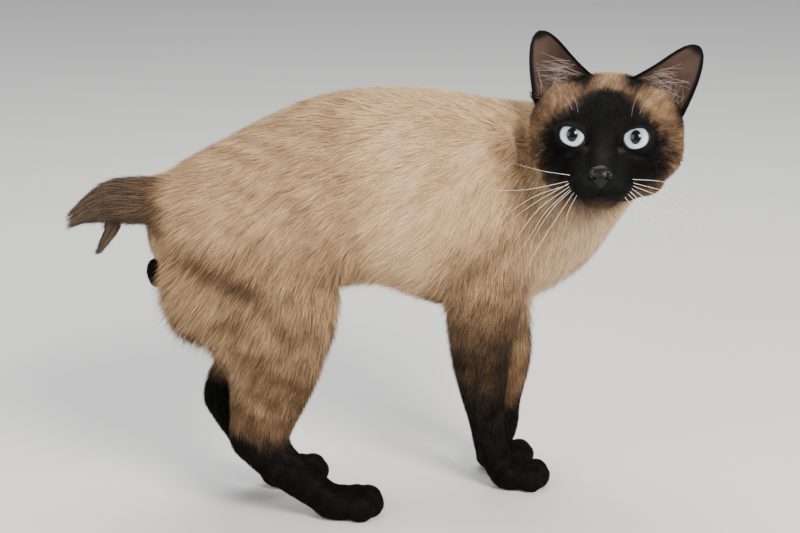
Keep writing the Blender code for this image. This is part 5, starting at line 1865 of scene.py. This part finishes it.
@dataclass(frozen=True)
class Eye:
    """One eyeball with a raised cornea."""

    name: str
    side: int
    head: Head
    look: tuple[float, float] = (0.0, 0.0)
    cornea_rise: float = 0.0011
    cornea_reach: float = 0.0088

    def gaze(self) -> Matrix:
        """How the eyeball is turned from the head's axes: left, then down."""
        return Matrix.Rotation(self.look[0], 3, "Z") @ Matrix.Rotation(self.look[1], 3, "Y")

    def make(self, material: Material) -> Object:
        """Builds the eyeball in the cat's axes."""
        shape = bmesh.new()
        bmesh.ops.create_uvsphere(shape, u_segments=96, v_segments=64, radius=self.head.eye_radius,
                                  matrix=Matrix.Rotation(pi / 2, 4, "Y"))
        mesh = mesh_of(shape, self.name)
        points = corners_of(mesh)
        reach = np.hypot(points[:, 1], points[:, 2])
        front = points[:, 0] > 0
        dome = np.clip(1 - (reach / self.cornea_reach) ** 2, 0, 1) ** 1.2 * front
        place = points.copy()
        place[~front, 1:] *= 4.0
        place[:, 1] *= self.side
        points *= (1 + dome * self.cornea_rise / self.head.eye_radius)[:, None]
        turned = points @ np.array(self.gaze()).T + np.array(self.head.eye(self.side))
        mesh.vertices.foreach_set("co", self.head.placed(turned).ravel())
        fibre = np.column_stack([np.zeros(len(points)), unit(place[:, 1:] + 1e-9)]) * 0.02
        for key, values in (("eye_place", place), ("eye_fibre", fibre)):
            layer = mesh.attributes.new(key, "FLOAT_VECTOR", "POINT")
            layer.data.foreach_set("vector", values.astype(np.float32).ravel())
        mesh.materials.append(material)
        mesh.shade_smooth()
        return link(self.name, mesh)


@dataclass(frozen=True)
class Nose:
    """The leather of the nose, with its nostrils."""

    head: Head
    voxel: float = 0.00022
    stations: tuple[Station, ...] = metres(
        (28.3, 0, -29.2, 2.2, 2.2, 6),
        (29.6, 0, -26.4, 4.7, 3, 6.5),
        (30, 0, -23.2, 7.4, 3.5, 6.5),
        (29.1, 0, -20, 7.2, 3.3, 6.5),
        (27.4, 0, -18, 5, 2.6, 6),
    )

    def make(self, material: Material) -> Object:
        """Builds the nose in the cat's axes."""
        to_cat = self.head.matrix()
        clay = Clay()
        clay.loft(self.stations, (1, 0, 0), sides=40, steps=8, cap=0.5, to_cat=to_cat)
        for side in (-1, 1):
            clay.ball((0.0318, side * 0.0054, -0.0222), (0.0022, 0.0023, 0.0026), to_cat)
        nose = clay.take("nose_pad")
        holes = Clay()
        for side in (-1, 1):
            holes.ball((0.0345, side * 0.0038, -0.0243), (0.003, 0.0014, 0.0012), to_cat)
            holes.ball((0.032, side * 0.0065, -0.0252), (0.003, 0.0023, 0.0006), to_cat,
                       Matrix.Rotation(side * radians(14), 4, "X"))
        cleft = metres((35, 0, -30, 0.22, 1, 1), (36.2, 0, -26.2, 0.22, 1, 1), (36.8, 0, -24, 0.1, 0.8, 0.8))
        holes.loft(cleft, (1, 0, 0), to_cat=to_cat)
        cutter = holes.take("holes")
        for thing in (nose, cutter):
            merge_forms(thing, self.voxel)
            smooth = thing.modifiers.new("soften", "SMOOTH")
            smooth.iterations = 6
            apply_modifiers(thing)
        combine(nose, cutter, "DIFFERENCE")
        nose.data.materials.clear()
        nose.data.materials.append(material)
        nose.data.shade_smooth()
        return nose


@dataclass(frozen=True)
class Studio:
    """A plain pale floor, soft lights, and the camera."""

    focal_pixels: float = 1882.0
    picture_width: int = 800
    sensor: float = 36.0
    eye_height: float = 0.49
    pitch: float = radians(15.27)
    heading: float = radians(12.0)
    stand: tuple[float, float] = (-0.1972151, -1.1745637)
    aim: Place = (0.0, 0.0, 0.15)

    def camera(self) -> Object:
        """The camera, which looks down at the cat's right side and face."""
        data = bpy.data.cameras.new("camera")
        data.sensor_width = self.sensor
        data.lens = self.sensor * self.focal_pixels / self.picture_width
        data.clip_start = 0.01
        camera = bpy.data.objects.new("camera", data)
        bpy.context.scene.collection.objects.link(camera)
        right = Vector((cos(self.heading), -sin(self.heading), 0))
        level = Vector((sin(self.heading), cos(self.heading), 0))
        forward = level * cos(self.pitch) - Vector((0, 0, 1)) * sin(self.pitch)
        matrix = Matrix((right, right.cross(forward), -forward)).transposed().to_4x4()
        matrix.translation = Vector((*self.stand, self.eye_height)) + BODY_SHIFT
        camera.matrix_world = matrix
        bpy.context.scene.camera = camera
        return camera

    def floor(self) -> Object:
        """A wide pale floor."""
        shape = bmesh.new()
        bmesh.ops.create_grid(shape, x_segments=1, y_segments=1, size=8.0)
        mesh = mesh_of(shape, "floor")
        dressing = Dressing("floor_paper")
        tone = dressing.noise(6.0, 3.0)
        dressing.settle(Base_Color=dressing.scaled((0.8, 0.79, 0.77), 0.98 + tone * 0.04), Roughness=0.75)
        mesh.materials.append(dressing.material)
        return link("floor", mesh)

    def light(self, name: str, place: Place, size: float, power: float, colour: Place = (1, 1, 1)) -> None:
        """A square soft light that points at the cat's middle."""
        data = bpy.data.lights.new(name, "AREA")
        data.shape = "SQUARE"
        data.size = size
        data.energy = power
        data.color = colour
        lamp = bpy.data.objects.new(name, data)
        bpy.context.scene.collection.objects.link(lamp)
        lamp.location = place
        way = Vector(self.aim) - Vector(place)
        lamp.rotation_mode = "QUATERNION"
        lamp.rotation_quaternion = way.to_track_quat("-Z", "Y")

    def world(self) -> None:
        """An even pale surround."""
        world = bpy.data.worlds.new("surround")
        bpy.context.scene.world = world
        world.use_nodes = True
        background = world.node_tree.nodes["Background"].inputs
        background["Color"].default_value = (0.93, 0.95, 1.0, 1.0)
        background["Strength"].default_value = 0.45

    def make(self) -> None:
        """Sets everything up."""
        self.floor()
        self.camera()
        self.world()
        self.light("key", (0.55, -1.75, 1.35), 0.75, 74.0, (1.0, 0.95, 0.88))
        self.light("fill", (-1.7, -1.2, 1.0), 1.4, 26.0, (0.97, 0.98, 1.0))
        self.light("top", (0.1, 0.5, 1.9), 1.4, 30.0)


FINE_NODES = ("right_eye", "left_eye", "nose_leather")


def deliver(piece: Object, nodes: Sequence[str] = ()) -> None:
    """Moves a finished piece to its place over the origin, hangs it under the root and hides the solids it
    stands for.

    Args:
        piece: The piece, in the cat's own axes.
        nodes: The solids that it stands for.
    """
    piece.data.transform(Matrix.Translation(BODY_SHIFT))
    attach(piece, "root")
    if nodes:
        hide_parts(*nodes)
    piece.data.calc_loop_triangles()
    LOG.info("%s: %d triangles", piece.name, len(piece.data.loop_triangles))


def main() -> None:
    """Builds the cat and its studio in order."""
    logging.basicConfig(level=logging.INFO, format="%(message)s")
    Studio().make()
    head = Head()
    body = Body(head)
    growth, markings = Growth(head), Markings(head)
    fur = FurFinish()

    skin = Skin(body, growth, markings).make()
    skin.data.materials.append(fur.skin())
    skin.data.shade_smooth()
    coat = Coat(body, skin, growth, markings).make()
    deliver(skin, [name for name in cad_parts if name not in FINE_NODES])
    tufts = fur.tufts()
    for piece in coat:
        piece.data.materials.append(tufts)
        deliver(piece)

    eye = EyeFinish().make()
    for side, name, look in ((-1, "right", (0.02, -0.07)), (1, "left", (-0.06, -0.12))):
        deliver(Eye(name + "_eyeball", side, head, look).make(eye), [name + "_eye"])
    leather = PlainFinish("nose_leather", (0.003, 0.0031, 0.0034), 0.3, 1500.0, 0.0003, 0.22).make()
    deliver(Nose(head).make(leather), ["nose_leather"])
    white = PlainFinish("whisker_white", (0.86, 0.82, 0.76), 0.4, 300.0, 0.0).make()
    pale = PlainFinish("ear_hair_pale", (0.4, 0.33, 0.29), 0.5, 300.0, 0.0).make()
    hairs = Whiskers(head, Strands("strands", 6), white, pale)
    deliver(hairs.whiskers())
    deliver(hairs.brow_hairs())
    deliver(hairs.ear_hair())


if __name__ == "__main__":
    main()
